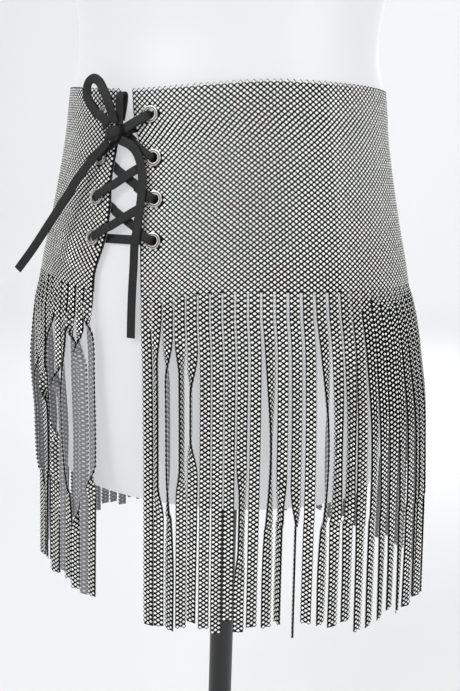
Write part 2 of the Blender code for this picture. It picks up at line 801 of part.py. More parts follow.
belt = start_collection("rhinestone_fringe_belt")
cutting = start_collection("cutters")
silver_net = material("silver_stone_net", (0.62, 0.62, 0.64), 0.25, 0.8)
form_white = material("satin_white_form", (0.86, 0.85, 0.83), 0.45)
stand_black = material("black_stand", (0.02, 0.02, 0.02), 0.4)
eyelet_silver = material("silver_eyelet", (0.75, 0.75, 0.76), 0.2, 1.0)
lace_black = material("black_lace", (0.02, 0.02, 0.02), 0.5)

make_base(stand_black, belt)
make_socket(stand_black, belt)
make_pole(stand_black, belt)
make_torso(form_white, belt)
make_band(silver_net, cutting, belt)
for side in (1, -1):
    for number, row in enumerate(EYELET_ROWS, 1):
        make_eyelet(side, row, number, eyelet_silver, belt)
strand_table = strand_moves()
for number in range(FRINGE_NODES):
    make_fringe(number, strand_table, silver_net, belt)
make_lace(lace_black, belt)
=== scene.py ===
"""Looks of the rhinestone fringe belt: stone net, strands, eyelets, lace, torso form and stand.

Metres, +Z up, the front of the form faces -Y. Routes and tables repeat those of the part's source.
"""
import bisect
import functools
import math
import random
from collections import namedtuple

import bmesh
import bpy
from mathutils import Matrix, Vector


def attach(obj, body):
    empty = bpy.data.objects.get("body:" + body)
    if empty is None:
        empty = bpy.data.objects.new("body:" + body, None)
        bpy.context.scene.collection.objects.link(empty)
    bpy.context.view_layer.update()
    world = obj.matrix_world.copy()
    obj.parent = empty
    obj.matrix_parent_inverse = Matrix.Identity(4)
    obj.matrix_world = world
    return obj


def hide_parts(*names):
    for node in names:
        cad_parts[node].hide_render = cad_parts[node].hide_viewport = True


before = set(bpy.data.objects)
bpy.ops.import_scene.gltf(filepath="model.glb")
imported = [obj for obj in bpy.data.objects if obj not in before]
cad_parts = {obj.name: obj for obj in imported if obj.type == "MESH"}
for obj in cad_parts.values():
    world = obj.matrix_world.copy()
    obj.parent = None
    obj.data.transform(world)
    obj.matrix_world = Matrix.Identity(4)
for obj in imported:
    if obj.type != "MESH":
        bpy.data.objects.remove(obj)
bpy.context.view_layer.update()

# The torso form and the way the cloth hangs on it, as in the part's source.
THIGH_CUT = 0.370
AXIS_X = -0.0105
TORSO = [  # height, half width, front, back
    (0.000, 0.141, 0.104, 0.108), (0.050, 0.154, 0.110, 0.118), (0.110, 0.161, 0.114, 0.124),
    (0.170, 0.159, 0.112, 0.120), (0.230, 0.146, 0.104, 0.108), (0.285, 0.135, 0.097, 0.097),
    (0.325, 0.130, 0.094, 0.093), (0.360, 0.124, 0.091, 0.090), (0.400, 0.128, 0.095, 0.093),
    (0.460, 0.144, 0.107, 0.102), (0.520, 0.157, 0.115, 0.108), (0.580, 0.161, 0.104, 0.104),
    (0.625, 0.158, 0.088, 0.096), (0.655, 0.136, 0.074, 0.082), (0.675, 0.098, 0.062, 0.066),
    (0.695, 0.066, 0.054, 0.056), (0.715, 0.055, 0.052, 0.053), (0.750, 0.052, 0.051, 0.051),
]
BELT_TOP = 0.325
TOP_DIP = 0.008
DIP_REACH = 0.120
NET_THICKNESS = 0.0020
NET_CLEARANCE = 0.0008
LACING_LIFT = 0.0034
LIFT_START = 0.040
LIFT_END = 0.085
LACING_TURN = math.radians(-20.5)
GIRTH_STEPS = 360
SEAM = 0.0003
LACING_GAP = [  # below the top edge, centre, half width
    (0.000, -0.0055, 0.0050), (0.020, -0.0038, 0.0063), (0.040, -0.0008, 0.0098),
    (0.065, 0.0004, 0.0131), (0.085, 0.0028, 0.0135), (0.110, 0.0036, 0.0154),
    (0.140, 0.0026, 0.0208), (0.200, 0.0085, 0.0205), (0.420, 0.0105, 0.0225),
]
SLIT_BELOW = 0.150
FRINGE_LENGTH = 0.264
HEADING_HEIGHT = 0.006
HIP_HEIGHT = 0.118
HANG_FLARE = 0.010
FRINGE_CLEARANCE = 0.0016
SIDE_SWING = [  # height, out
    (-0.100, 0.0230), (-0.040, 0.0215), (0.000, 0.0200), (0.040, 0.0180),
    (0.080, 0.0150), (0.120, 0.0085), (0.150, 0.0030), (0.180, 0.0000),
]
SWING_TURN = math.radians(95.0)
SIDE_TUCK = 0.0045
TUCK_HEIGHTS = (0.040, 0.110)
SHORT_SIDE = 0.010
SHORT_FROM = (0.86, 0.94)
STRANDS = 90
STRAND_SHARE = 0.79
STRAND_SEED = 11

# The net is drawn together beside the lacing and spread over the front of the hips.
FRONT_SHARE = 0.178
FRONT_EASE = 0.0049

# Towards the top it takes its fullness in at the back, so that the front's columns run straight.
TOP_SPREAD = 0.18
SPREAD_END = 0.170

# Strands that hang turned: by how many degrees, and from and to which share of their fall.
TURNED_STRANDS = {
    1: (50, 0.10, 0.60), 2: (86, 0.16, 0.50), 3: (-84, 0.13, 0.55), 4: (80, 0.20, 0.46),
    8: (-60, 0.50, 0.80), 11: (70, 0.55, 1.20), 12: (-75, 0.60, 1.20), 80: (60, 0.30, 0.70),
    82: (-150, 0.35, 1.20), 84: (70, 0.12, 0.50), 85: (170, 0.30, 1.20), 87: (-175, 0.10, 0.75),
    88: (165, 0.16, 1.20), 89: (-160, 0.05, 0.60),
}

# The eyelets and the lace, as in the part's source.
EYELET_ROWS = [0.0175, 0.0490, 0.0790, 0.1095]
EYELET_FROM_EDGE = {1: (0.0150, 0.0118, 0.0118, 0.0112), -1: (0.0145, 0.0140, 0.0135, 0.0120)}
EYELET_OUTER = 0.0061
EYELET_BORE = 0.0043
EYELET_BARREL = 0.0051
EYELET_FLANGE = 0.0007
LACE_WIDTH = 0.0070
LACE_THICKNESS = 0.0012
TIGHT_WIDTH = 0.0056
IN_BORE = -0.0013
OVER_FLANGE = 0.0049
OVER_CLOTH = 0.0035
CROSS_ABOVE = 0.0020
CROSS_BELOW = 0.0002
BEHIND_CLOTH = -0.0014
BEHIND_EYELET = -0.0022
KNOT_ALONG = -0.0085
KNOT_UP = 0.2860
KNOT_OUT = 0.0136
KNOT_SIZE = (0.0130, 0.0120, 0.0064)

# The routes of the bow: distance round, height, distance out, tilt.
SIDE_LOOP = [
    (-0.0127, 0.2936, 0.0142, 0), (-0.0185, 0.2975, 0.0150, -8), (-0.0240, 0.3018, 0.0165, -18),
    (-0.0288, 0.3089, 0.0185, -25), (-0.0306, 0.3162, 0.0195, -25), (-0.0289, 0.3225, 0.0200, -12),
    (-0.0242, 0.3252, 0.0200, 0), (-0.0191, 0.3227, 0.0197, 12), (-0.0156, 0.3175, 0.0193, 20),
    (-0.0121, 0.3110, 0.0188, 18), (-0.0094, 0.3039, 0.0182, 8), (-0.0074, 0.2970, 0.0167, 0),
    (-0.0067, 0.2937, 0.0158, 0),
]
FRONT_LOOP = [
    (-0.0039, 0.2951, 0.0120, 0), (-0.0034, 0.2976, 0.0122, 0), (-0.0023, 0.3042, 0.0125, 0),
    (-0.0013, 0.3105, 0.0132, 0), (-0.0009, 0.3136, 0.0144, 0), (-0.0012, 0.3148, 0.0158, 0),
    (-0.0016, 0.3136, 0.0174, 0), (-0.0020, 0.3100, 0.0180, 0), (-0.0026, 0.3037, 0.0163, 0),
    (-0.0036, 0.2968, 0.0146, 0), (-0.0036, 0.2924, 0.0139, 0),
]
SIDE_TAIL = [
    (-0.0133, 0.2801, 0.0128, 0), (-0.0205, 0.2738, 0.0122, 5), (-0.0270, 0.2672, 0.0130, 12),
    (-0.0345, 0.2567, 0.0150, 20), (-0.0411, 0.2444, 0.0175, 28), (-0.0508, 0.2233, 0.0230, 32),
    (-0.0650, 0.1965, 0.0290, 32), (-0.0779, 0.1800, 0.0320, 32),
]
FRONT_TAIL = [
    (-0.0023, 0.2811, 0.0124, 0), (0.0052, 0.2780, 0.0118, 0), (0.0108, 0.2728, 0.0112, 0),
    (0.0150, 0.2649, 0.0110, 0), (0.0178, 0.2542, 0.0109, 0), (0.0187, 0.2442, 0.0109, 0),
    (0.0187, 0.2312, 0.0109, 0), (0.0181, 0.2114, 0.0106, 0), (0.0178, 0.2040, 0.0098, 0),
    (0.0177, 0.1870, 0.0068, 0), (0.0180, 0.1609, 0.0056, 0), (0.0181, 0.1356, 0.0050, 0),
]

# The stones: the spacing of their rows, and the shape of one stone in its cup, from its middle to its
# side and upper tips, with a share of each edge trimmed off at the tips.
ROW_PITCH = 0.00380
STONE_TIPS = (0.00154, 0.00133)
STONE_TRIM = 0.15
TABLE_RADIUS = 0.00052
CROWN_HEIGHT = 0.00050
CUP_RIM = 0.00030
CUP_HALF = 0.00190
CUP_FOOT = CUP_HALF * 0.94
CUP_HEIGHT = 0.00105
BACKING_THICKNESS = 0.0005
STONE_SEED = 23
STONE_LEAN = 0.05
STONE_CLEAR = 0.0004
STONE_SUNK = 0.0002
END_MARGIN = 0.0010

# Short distances over which directions are read.
NEAR = 0.001
NEAR_SHARE = 0.0005

rng = random.Random(STRAND_SEED)
stone_rng = random.Random(STONE_SEED)


def smooth_step(value, low, high):
    share = min(max((value - low) / (high - low), 0.0), 1.0)
    return share * share * (3.0 - 2.0 * share)


def curve(start, slope_in, end, slope_out, share):
    """A number on the cubic curve between two numbers with given slopes."""
    return (
        start * (2 * share**3 - 3 * share**2 + 1)
        + slope_in * (share**3 - 2 * share**2 + share)
        + end * (3 * share**2 - 2 * share**3)
        + slope_out * (share**3 - share**2)
    )


def read_table(table, at):
    """Reads the rows of a table at a place in its first column, on one smooth curve through them."""
    places = [row[0] for row in table]
    if at <= places[0]:
        return list(table[0][1:])
    if at >= places[-1]:
        return list(table[-1][1:])
    low = bisect.bisect_right(places, at) - 1
    rows = [table[max(low - 1, 0)], table[low], table[low + 1], table[min(low + 2, len(table) - 1)]]
    step = rows[2][0] - rows[1][0]
    share = (at - rows[1][0]) / step
    values = []
    for column in range(1, len(table[0])):
        before, start, end, after = [row[column] for row in rows]
        slope_in = (end - before) / max(rows[2][0] - rows[0][0], 1e-9) * step
        slope_out = (after - start) / max(rows[3][0] - rows[1][0], 1e-9) * step
        values.append(curve(start, slope_in, end, slope_out, share))
    return values


@functools.lru_cache(maxsize=None)
def hanging_section(up):
    """The half width, front and back of the surface that the cloth follows."""
    if up >= HIP_HEIGHT:
        return read_table(TORSO, up)
    flare = HANG_FLARE * (HIP_HEIGHT - up)
    return [size + flare for size in read_table(TORSO, HIP_HEIGHT)]


def section_point(section, turn, out):
    """A point of a section at an angle from the front, moved out along the section's normal."""
    half_width, front, back = section
    depth = front if math.cos(turn) > 0 else back
    across = Vector((AXIS_X + half_width * math.sin(turn), -depth * math.cos(turn)))
    normal = Vector((depth * math.sin(turn), -half_width * math.cos(turn))).normalized()
    return across + normal * out


@functools.lru_cache(maxsize=None)
def girth(step):
    """The arc length round the cloth's section at a height in whole millimetres, from the lacing
    line back to it."""
    section = hanging_section(step / 1000)
    turns = [LACING_TURN + 2 * math.pi * part / GIRTH_STEPS for part in range(GIRTH_STEPS + 1)]
    points = [section_point(section, turn, NET_CLEARANCE + NET_THICKNESS) for turn in turns]
    lengths = [0.0]
    for start, end in zip(points, points[1:]):
        lengths.append(lengths[-1] + (end - start).length)
    return turns, lengths


def turn_on(step, along):
    turns, lengths = girth(step)
    place = along % lengths[-1]
    low = min(bisect.bisect_right(lengths, place), len(lengths) - 1) - 1
    share = (place - lengths[low]) / (lengths[low + 1] - lengths[low])
    return turns[low] + share * (turns[low + 1] - turns[low])


def turn_at(up, along):
    """The angle of the point that lies a distance round the body from the lacing line."""
    step = math.floor(up * 1000)
    low, high = turn_on(step, along), turn_on(step + 1, along)
    if abs(high - low) > math.pi:
        high += math.copysign(2 * math.pi, low - high)
    return low + (high - low) * (up * 1000 - step)


def whole_girth(up):
    step = math.floor(up * 1000)
    low, high = girth(step)[1][-1], girth(step + 1)[1][-1]
    return low + (high - low) * (up * 1000 - step)


def lift(along, up):
    """How far the cloth's inside stands off the form: more beside the lacing, where the lace runs."""
    total = whole_girth(up)
    distance = min(along % total, total - along % total)
    return NET_CLEARANCE + LACING_LIFT * (1.0 - smooth_step(distance, LIFT_START, LIFT_END))


def on_body(along, up, out):
    """A point at a distance round from the lacing, a height above the thigh cut and a distance out
    from the form's surface."""
    flat = section_point(hanging_section(round(up, 5)), turn_at(up, along), out)
    return Vector((flat.x, flat.y, THIGH_CUT + up))


def body_frame(along, up, out, ahead, behind):
    """The ways round and up at a point on the body, read over a short distance, and the way out."""
    beside = (on_body(along + ahead, up, out) - on_body(along - behind, up, out)).normalized()
    above = (on_body(along, up + ahead, out) - on_body(along, up - behind, out)).normalized()
    return beside, above, beside.cross(above).normalized()


def swing(along, up):
    """How much further out the strands hang at a place of the fringe."""
    facing = math.cos(turn_at(up, along) - SWING_TURN)
    if facing > 0.0:
        return read_table(SIDE_SWING, up)[0] * facing**1.5
    return -SIDE_TUCK * (-facing) ** 1.5 * (1.0 - smooth_step(up, *TUCK_HEIGHTS))


def gap_edge(side, below):
    """The sheet's edge on one side of the lacing, round from the lacing line."""
    centre, half = read_table(LACING_GAP, below)
    return centre + side * half


def top_edge(along, total):
    """The height of the belt's top edge, which dips towards the lacing."""
    distance = min(along % total, total - along % total)
    return BELT_TOP - TOP_DIP * (1.0 - smooth_step(distance, 0.0, DIP_REACH))


def cloth_place(share, below):
    """The distance round and the height of a point of the net, from its share of the way round the
    sheet and its depth below the top edge."""
    total = whole_girth(BELT_TOP - below)
    centre, half = read_table(LACING_GAP, below)
    near_lacing = (1.0 + math.cos(2 * math.pi * share)) / 2
    along = centre * near_lacing + half + share * (total - 2 * half)
    if share < FRONT_SHARE:
        along -= FRONT_EASE * math.sin(math.pi * share / FRONT_SHARE)
    spread = TOP_SPREAD * max(0.0, 1.0 - below / SPREAD_END) * math.sin(2 * math.pi * share)
    along += spread * (total - 2 * half) / (2 * math.pi)
    up = top_edge(along, total) - below
    return along * whole_girth(up) / total, up


def smooth_route(rows, per_span):
    """Places read along one smooth curve through the rows of a route."""
    places = []
    padded = [rows[0], *rows, rows[-1]]
    for around in zip(padded, padded[1:], padded[2:], padded[3:]):
        for step in range(per_span):
            place = []
            for before, start, end, after in zip(*around):
                place.append(curve(start, (end - before) / 2, end, (after - start) / 2, step / per_span))
            places.append(place)
    places.append(list(rows[-1]))
    return places


def add_node(tree, kind, settings, **inputs):
    """Adds a node with its settings and inputs, and gives its outputs."""
    made = tree.nodes.new(kind)
    for key, value in (settings or {}).items():
        if key == "stops":
            set_stops(made.color_ramp, value)
        else:
            setattr(made, key, value)
    for key, value in inputs.items():
        socket = made.inputs[int(key[1:])] if key[0] == "_" else made.inputs[key.replace("_", " ")]
        value = getattr(value, "socket", value)
        if isinstance(value, bpy.types.NodeSocket):
            tree.links.new(value, socket)
        else:
            socket.default_value = value
    return made.outputs


class Finish:
    """A material's node tree, with one method that adds any node."""

    def __init__(self, name):
        self.material = bpy.data.materials.new(name)
        self.material.use_nodes = True
        self.tree = self.material.node_tree
        self.tree.nodes.clear()

    def node(self, kind, settings=None, **inputs):
        return add_node(self.tree, kind, settings, **inputs)

    def attribute(self, name):
        return Value(self, self.node("ShaderNodeAttribute", {"attribute_name": name})["Fac"])

    def mix(self, factor, low, high, blend="MIX"):
        settings = {"data_type": "RGBA", "blend_type": blend}
        return self.node("ShaderNodeMix", settings, _0=factor, _6=low, _7=high)[2]

    def bump(self, height, strength, distance):
        inputs = {"Height": height, "Strength": strength, "Distance": distance}
        return self.node("ShaderNodeBump", None, **inputs)["Normal"]

    def surface(self, **inputs):
        shader = self.node("ShaderNodeBsdfPrincipled", None, **inputs)["BSDF"]
        self.node("ShaderNodeOutputMaterial", None, Surface=shader)
        return self.material


def set_stops(ramp, stops):
    while len(ramp.elements) > len(stops):
        ramp.elements.remove(ramp.elements[-1])
    while len(ramp.elements) < len(stops):
        ramp.elements.new(0.5)
    for element, (place, colour) in zip(ramp.elements, stops):
        element.position = place
        element.color = colour


class Value:
    """A number socket, whose arithmetic adds Math nodes."""

    def __init__(self, finish, socket):
        self.finish = finish
        self.socket = socket

    def maths(self, operation, first, second):
        made = self.finish.node("ShaderNodeMath", {"operation": operation}, _0=first, _1=second)
        return Value(self.finish, made[0])

    def __add__(self, other):
        return self.maths("ADD", self, other)

    def __radd__(self, other):
        return self.maths("ADD", other, self)

    def __sub__(self, other):
        return self.maths("SUBTRACT", self, other)

    def __rsub__(self, other):
        return self.maths("SUBTRACT", other, self)

    def __mul__(self, other):
        return self.maths("MULTIPLY", self, other)

    def __rmul__(self, other):
        return self.maths("MULTIPLY", other, self)

    def fraction(self):
        return self.maths("FRACT", self, 0.0)

    def size(self):
        return self.maths("ABSOLUTE", self, 0.0)

    def greatest(self, other):
        return self.maths("MAXIMUM", self, other)


def object_noise(finish, scale, detail=2.0):
    """A number from 0 to 1 that wanders over the piece."""
    place = finish.node("ShaderNodeTexCoord")["Object"]
    noise = finish.node("ShaderNodeTexNoise", None, Vector=place, Scale=scale, Detail=detail)
    return Value(finish, noise["Fac"])


WHITE = (1.0, 1.0, 1.0, 1)
BLACK = (0.0, 0.0, 0.0, 1)


def stone_finish():
    """Clear cut stones over a silvered back, each of a slight random tint, with a painted highlight that
    whitens and lights each table, painted glints that set the facets a little off each other, and a faint
    painted reflection tint.
    """
    finish = Finish("cut_stone")
    shade = finish.attribute("stone_shade")
    facet = finish.attribute("facet_shade")
    table = finish.attribute("table")
    stops = [
        (0.00, (0.88, 0.95, 0.90, 1)),
        (0.12, (0.96, 0.97, 0.94, 1)),
        (0.85, (1.00, 0.99, 0.97, 1)),
        (0.94, (0.97, 0.92, 0.92, 1)),
        (1.00, (0.91, 0.91, 0.97, 1)),
    ]
    colour = finish.node("ShaderNodeValToRGB", {"stops": stops}, Fac=shade)["Color"]
    # Painted highlight and glints: the table is set to full white and every other facet is darkened by a
    # random amount.
    painted_facet_light = finish.mix((0.66 + 0.34 * facet) * (1 - table) + table, (0.12, 0.12, 0.13, 1), WHITE)
    # Painted light: the table glows a little, more on some stones than on others.
    painted_glint = finish.mix(table * (0.4 + 0.6 * shade), BLACK, WHITE)
    # Painted reflection: a faint pink and green tint that wanders over the piece.
    painted_reflection_tint = finish.mix(object_noise(finish, 22.0, 1.0), (0.965, 1.0, 0.97, 1), (1.0, 0.965, 0.97, 1))
    for layer in (painted_facet_light, painted_reflection_tint):
        colour = finish.mix(1.0, colour, layer, "MULTIPLY")
    return finish.surface(
        Base_Color=colour,
        Metallic=0.1,
        Roughness=0.14,
        Coat_Weight=0.6,
        Coat_Roughness=0.04,
        Emission_Color=painted_glint,
        Emission_Strength=0.14,
    )


def cup_finish():
    """Black nickel setting, worn brighter in places."""
    finish = Finish("black_cup")
    wear = object_noise(finish, 900.0)
    colour = finish.mix(wear, (0.003, 0.003, 0.003, 1), (0.010, 0.008, 0.007, 1))
    return finish.surface(Base_Color=colour, Roughness=0.50 + 0.2 * wear, Specular_IOR_Level=0.10)


def backing_finish(name, ground, thread):
    """The net that the stones are set in, with the cups' prongs as small light dots on it."""
    finish = Finish(name)
    place = finish.node("ShaderNodeUVMap", {"uv_map": "net"})["UV"]
    split = finish.node("ShaderNodeSeparateXYZ", None, Vector=place)
    across, down = Value(finish, split["X"]), Value(finish, split["Y"])
    dots = dot_mask(finish, across, down).greatest(dot_mask(finish, across + 0.5, down + 0.5))
    mottled = object_noise(finish, 420.0)
    colour = finish.mix(dots * (0.55 + 0.45 * mottled), ground, thread)
    normal = finish.bump(dots, 0.2, 0.0002)
    return finish.surface(Base_Color=colour, Metallic=0.15, Roughness=0.75 - 0.3 * dots, Normal=normal)


def dot_mask(finish, across, down):
    """Round dots half-way between the whole numbers of a pair of coordinates."""
    aside = (across.fraction() - 0.5).size()
    above = (down.fraction() - 0.5).size()
    near = finish.node(
        "ShaderNodeMapRange",
        {"interpolation_type": "SMOOTHSTEP"},
        Value=aside * aside + above * above,
        From_Min=0.012,
        From_Max=0.060,
        To_Min=1.0,
        To_Max=0.0,
    )
    return Value(finish, near["Result"])


def form_finish():
    """Satin white moulded torso, with the faint unevenness of paint and a painted glow that lights it where
    it lies in shade.
    """
    finish = Finish("satin_white_form")
    broad = object_noise(finish, 6.0, 3.0)
    fine = object_noise(finish, 700.0)
    # The base colour is kept low, as most of the form's whiteness comes from the painted glow.
    colour = finish.mix(broad, (0.30, 0.298, 0.295, 1), (0.34, 0.338, 0.335, 1))
    return finish.surface(
        Base_Color=colour,
        Roughness=0.36 + 0.12 * broad,
        # Painted light: the form glows, though it is no lamp, so that it stays light in the shade of the
        # strands.
        Emission_Color=(0.97, 0.98, 1.0, 1),
        Emission_Strength=0.46,
        Normal=finish.bump(fine, 0.12, 0.0002),
    )


def stand_finish():
    """Black satin paint on steel."""
    finish = Finish("black_satin_paint")
    broad = object_noise(finish, 14.0, 3.0)
    colour = finish.mix(broad, (0.004, 0.004, 0.0045, 1), (0.009, 0.009, 0.010, 1))
    normal = finish.bump(object_noise(finish, 1500.0), 0.15, 0.0001)
    return finish.surface(Base_Color=colour, Roughness=0.34 + 0.14 * broad, Coat_Weight=0.1, Normal=normal)


def eyelet_finish():
    """Polished silver plate, a little dulled, with painted shade darkening its groove and the lip into its
    bore.
    """
    finish = Finish("silver_plate")
    dull = object_noise(finish, 260.0, 3.0)
    hollow = finish.attribute("hollow")
    silver = finish.mix(dull, (0.70, 0.70, 0.71, 1), (0.86, 0.86, 0.86, 1))
    # Painted shade: the groove and the lip into the bore are darkened in the colour.
    colour = finish.mix(hollow, silver, (0.20, 0.17, 0.15, 1))
    return finish.surface(Base_Color=colour, Metallic=0.85, Roughness=0.22 + 0.14 * dull + 0.2 * hollow)


def lace_finish():
    """Flat black leather lace with a soft matte sheen and a fine grain."""
    finish = Finish("black_leather_lace")
    place = finish.node("ShaderNodeTexCoord")["Object"]
    cells = finish.node("ShaderNodeTexVoronoi", {"feature": "DISTANCE_TO_EDGE"}, Vector=place, Scale=1800.0)
    broad = object_noise(finish, 240.0, 3.0)
    return finish.surface(
        Base_Color=finish.mix(broad, (0.005, 0.005, 0.0055, 1), (0.016, 0.016, 0.016, 1)),
        Roughness=0.50 + 0.16 * broad,
        Specular_IOR_Level=0.28,
        Normal=finish.bump(cells["Distance"], 0.35, 0.00015),
    )


def floor_finish():
    finish = Finish("pale_floor")
    colour = finish.mix(object_noise(finish, 0.8, 1.0), (0.80, 0.80, 0.80, 1), (0.83, 0.83, 0.83, 1))
    return finish.surface(Base_Color=colour, Roughness=0.9)


def add_piece(name, mesh, *finishes):
    piece = bpy.data.objects.new(name, mesh)
    bpy.context.scene.collection.objects.link(piece)
    for finish in finishes:
        mesh.materials.append(finish)
    return piece


def mesh_of(name, points, faces, smooth_angle=50.0):
    mesh = bpy.data.meshes.new(name)
    mesh.from_pydata(points, [], faces)
    mesh.shade_smooth()
    mesh.set_sharp_from_angle(angle=math.radians(smooth_angle))
    return mesh


def ring_of(wide, deep, height, count):
    turns = [2 * math.pi * step / count for step in range(count)]
    return [(wide * math.cos(turn), deep * math.sin(turn), height) for turn in turns]


def tube_faces(rings, count, first=0, looped=False, capped=False):
    """Quads between rings of points that each run once round, with the two ends closed if capped."""
    faces = []
    for ring in range(rings if looped else rings - 1):
        low, high = first + ring * count, first + (ring + 1) % rings * count
        for step in range(count):
            beside = (step + 1) % count
            faces.append((low + step, low + beside, high + beside, high + step))
    if capped:
        faces.append(tuple(reversed(range(count))))
        faces.append(tuple(range((rings - 1) * count, rings * count)))
    return faces


def faced_out(mesh, weld=0.0):
    shape = bmesh.new()
    shape.from_mesh(mesh)
    if weld:
        bmesh.ops.remove_doubles(shape, verts=shape.verts, dist=weld)
    bmesh.ops.recalc_face_normals(shape, faces=shape.faces)
    shape.to_mesh(mesh)
    shape.free()
    return mesh


def settle(piece, slot, *nodes):
    """A finished piece stands for its CAD nodes and rides on the one body."""
    if nodes:
        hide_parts(*nodes)
    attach(piece, "root")
    return piece


FORM_RINGS = 110
FORM_SEGMENTS = 96
FORM_EDGE = 0.003
FORM_INSET = 0.020


def make_form(finish):
    """The form lofted through its sections, with a softened thigh cut and neck cap."""
    top = TORSO[-1][0]
    rings = [(0.0, -FORM_INSET), (0.0, -FORM_EDGE)]
    rings += [(FORM_EDGE * (1 - math.cos(turn)), -FORM_EDGE * (1 - math.sin(turn))) for turn in (0.5, 1.1)]
    rings += [(up, 0.0) for up in spaced(FORM_EDGE, top - 0.002, FORM_RINGS)]
    rings += [(top - 0.0006, -0.001), (top, -0.004), (top, -FORM_INSET)]
    points = []
    for up, out in rings:
        section = read_table(TORSO, up)
        for step in range(FORM_SEGMENTS):
            flat = section_point(section, 2 * math.pi * step / FORM_SEGMENTS, out)
            points.append((flat.x, flat.y, THIGH_CUT + up))
    faces = tube_faces(len(rings), FORM_SEGMENTS, capped=True)
    piece = add_piece("form_shell", mesh_of("form_shell", points, faces), finish)
    return settle(piece, "form", "torso_form")


def spaced(low, high, count):
    return [low + (high - low) * step / (count - 1) for step in range(count)]


def eyelet_frame(side, row):
    """The eyelet's place round and up, its centre on the cloth's inside, and its outward way."""
    along = gap_edge(side, row) + side * EYELET_FROM_EDGE[side][EYELET_ROWS.index(row)]
    up = top_edge(along, whole_girth(BELT_TOP - row)) - row
    inside = lift(along, up)
    return along, up, on_body(along, up, inside), body_frame(along, up, inside, 2 * NEAR, 0.0)[2]


EYELETS = {(side, row): eyelet_frame(side, row) for side in (1, -1) for row in EYELET_ROWS}
HOLE_RADIUS = EYELET_BARREL - 0.0002
HOLE_REACH = 0.0075
HOLE_DEPTH = 0.004


def clear_of_eyelets(point, reach):
    return all((point - centre).length > reach for _, _, centre, _ in EYELETS.values())


def eased_round_eyelet(point):
    """Moves a point of the backing out to the rim of the eyelet's hole that it lies in."""
    for _, _, centre, outward in EYELETS.values():
        way = point - centre
        height = way.dot(outward)
        flat = way - outward * height
        if 1e-6 < flat.length < HOLE_REACH and abs(height) < HOLE_DEPTH:
            radius = HOLE_RADIUS + flat.length * (HOLE_REACH - HOLE_RADIUS) / HOLE_REACH
            return centre + flat.normalized() * radius + outward * height
    return point


def shell_mesh(name, rows, holes):
    """A closed thin shell from rows of (inner point, outer point, across, down), but for its holes:
    its outer face takes the first material, its back and edges the second."""
    points = []
    spots = []
    for row in rows:
        for inner, outer, across, down in row:
            points += [tuple(inner), tuple(outer)]
            spots.append((across, down))
    columns = len(rows[0])
    kept = {(row, column) for row in range(len(rows) - 1) for column in range(columns - 1)} - holes
    faces = []
    marks = []
    for row, column in sorted(kept):
        corners = [row * columns + column, (row + 1) * columns + column]
        corners += [(row + 1) * columns + column + 1, row * columns + column + 1]
        faces.append([2 * corner + 1 for corner in corners])
        marks.append(0)
        faces.append([2 * corner for corner in reversed(corners)])
        marks.append(1)
        around = [(row, column - 1), (row + 1, column), (row, column + 1), (row - 1, column)]
        for side, beside in enumerate(around):
            if beside not in kept:
                start, end = corners[side], corners[(side + 1) % 4]
                faces.append([2 * start, 2 * end, 2 * end + 1, 2 * start + 1])
                marks.append(1)
    used = sorted({index for face in faces for index in face})
    place = {index: number for number, index in enumerate(used)}
    faces = [[place[index] for index in face] for face in faces]
    mesh = mesh_of(name, [points[index] for index in used], faces, 35.0)
    mesh.polygons.foreach_set("material_index", marks)
    layer = mesh.uv_layers.new(name="net")
    for loop in mesh.loops:
        layer.data[loop.index].uv = spots[used[loop.vertex_index] // 2]
    return mesh


BAND_COLUMNS = 2 * STRANDS
BAND_ROWS = 40
LACED_COLUMNS = 11
HOLE_CUT = 0.0024


def band_point(share, below, out):
    along, up = cloth_place(share, below)
    return on_body(along, up, lift(along, up) + out)


def make_band(front, back):
    """The backing of the closed upper part, with the eyelets' holes in it."""
    rows = []
    for row in range(BAND_ROWS + 1):
        below = SLIT_BELOW * row / BAND_ROWS
        line = []
        for column in range(BAND_COLUMNS + 1):
            share = column / BAND_COLUMNS
            inner = eased_round_eyelet(band_point(share, below, 0.0))
            outer = eased_round_eyelet(band_point(share, below, BACKING_THICKNESS))
            line.append((inner, outer, share * BAND_COLUMNS, below / ROW_PITCH))
        rows.append(line)
    middles = {}
    for column in [*range(LACED_COLUMNS), *range(BAND_COLUMNS - LACED_COLUMNS, BAND_COLUMNS)]:
        for row in range(BAND_ROWS):
            below = SLIT_BELOW * (row + 0.5) / BAND_ROWS
            middles[row, column] = band_point((column + 0.5) / BAND_COLUMNS, below, 0.0)
    holes = set()
    for _, _, centre, _ in EYELETS.values():
        distances = {place: (middle - centre).length for place, middle in middles.items()}
        holes.add(min(distances, key=distances.get))
        holes |= {place for place, distance in distances.items() if distance < HOLE_CUT}
    piece = add_piece("net_band_backing", shell_mesh("net_band_backing", rows, holes), front, back)
    return settle(piece, "stone_net", "net_band")


Move = namedtuple("Move", "longer sway out middle end")
TWISTED_SHARE = 0.16
TWISTED = 75
MIDDLE_TWIST = 22
END_TWIST = 30
LENGTH_PLAY = 0.006
SWAY_PLAY = 0.0006
OUT_PLAY = 0.0016


def strand_moves():
    """Each strand's own hang, drawn in the same order as in the part's source."""
    moves = []
    for _ in range(STRANDS):
        twisted = rng.random() < TWISTED_SHARE
        longer = rng.uniform(-LENGTH_PLAY, LENGTH_PLAY)
        sway = rng.uniform(-SWAY_PLAY, SWAY_PLAY)
        out = rng.uniform(0.0, OUT_PLAY)
        middle = rng.choice((-TWISTED, TWISTED)) if twisted else rng.uniform(-MIDDLE_TWIST, MIDDLE_TWIST)
        end = rng.uniform(-END_TWIST, END_TWIST)
        moves.append(Move(longer, sway, out, math.radians(middle), math.radians(end)))
    return moves


MOVES = strand_moves()


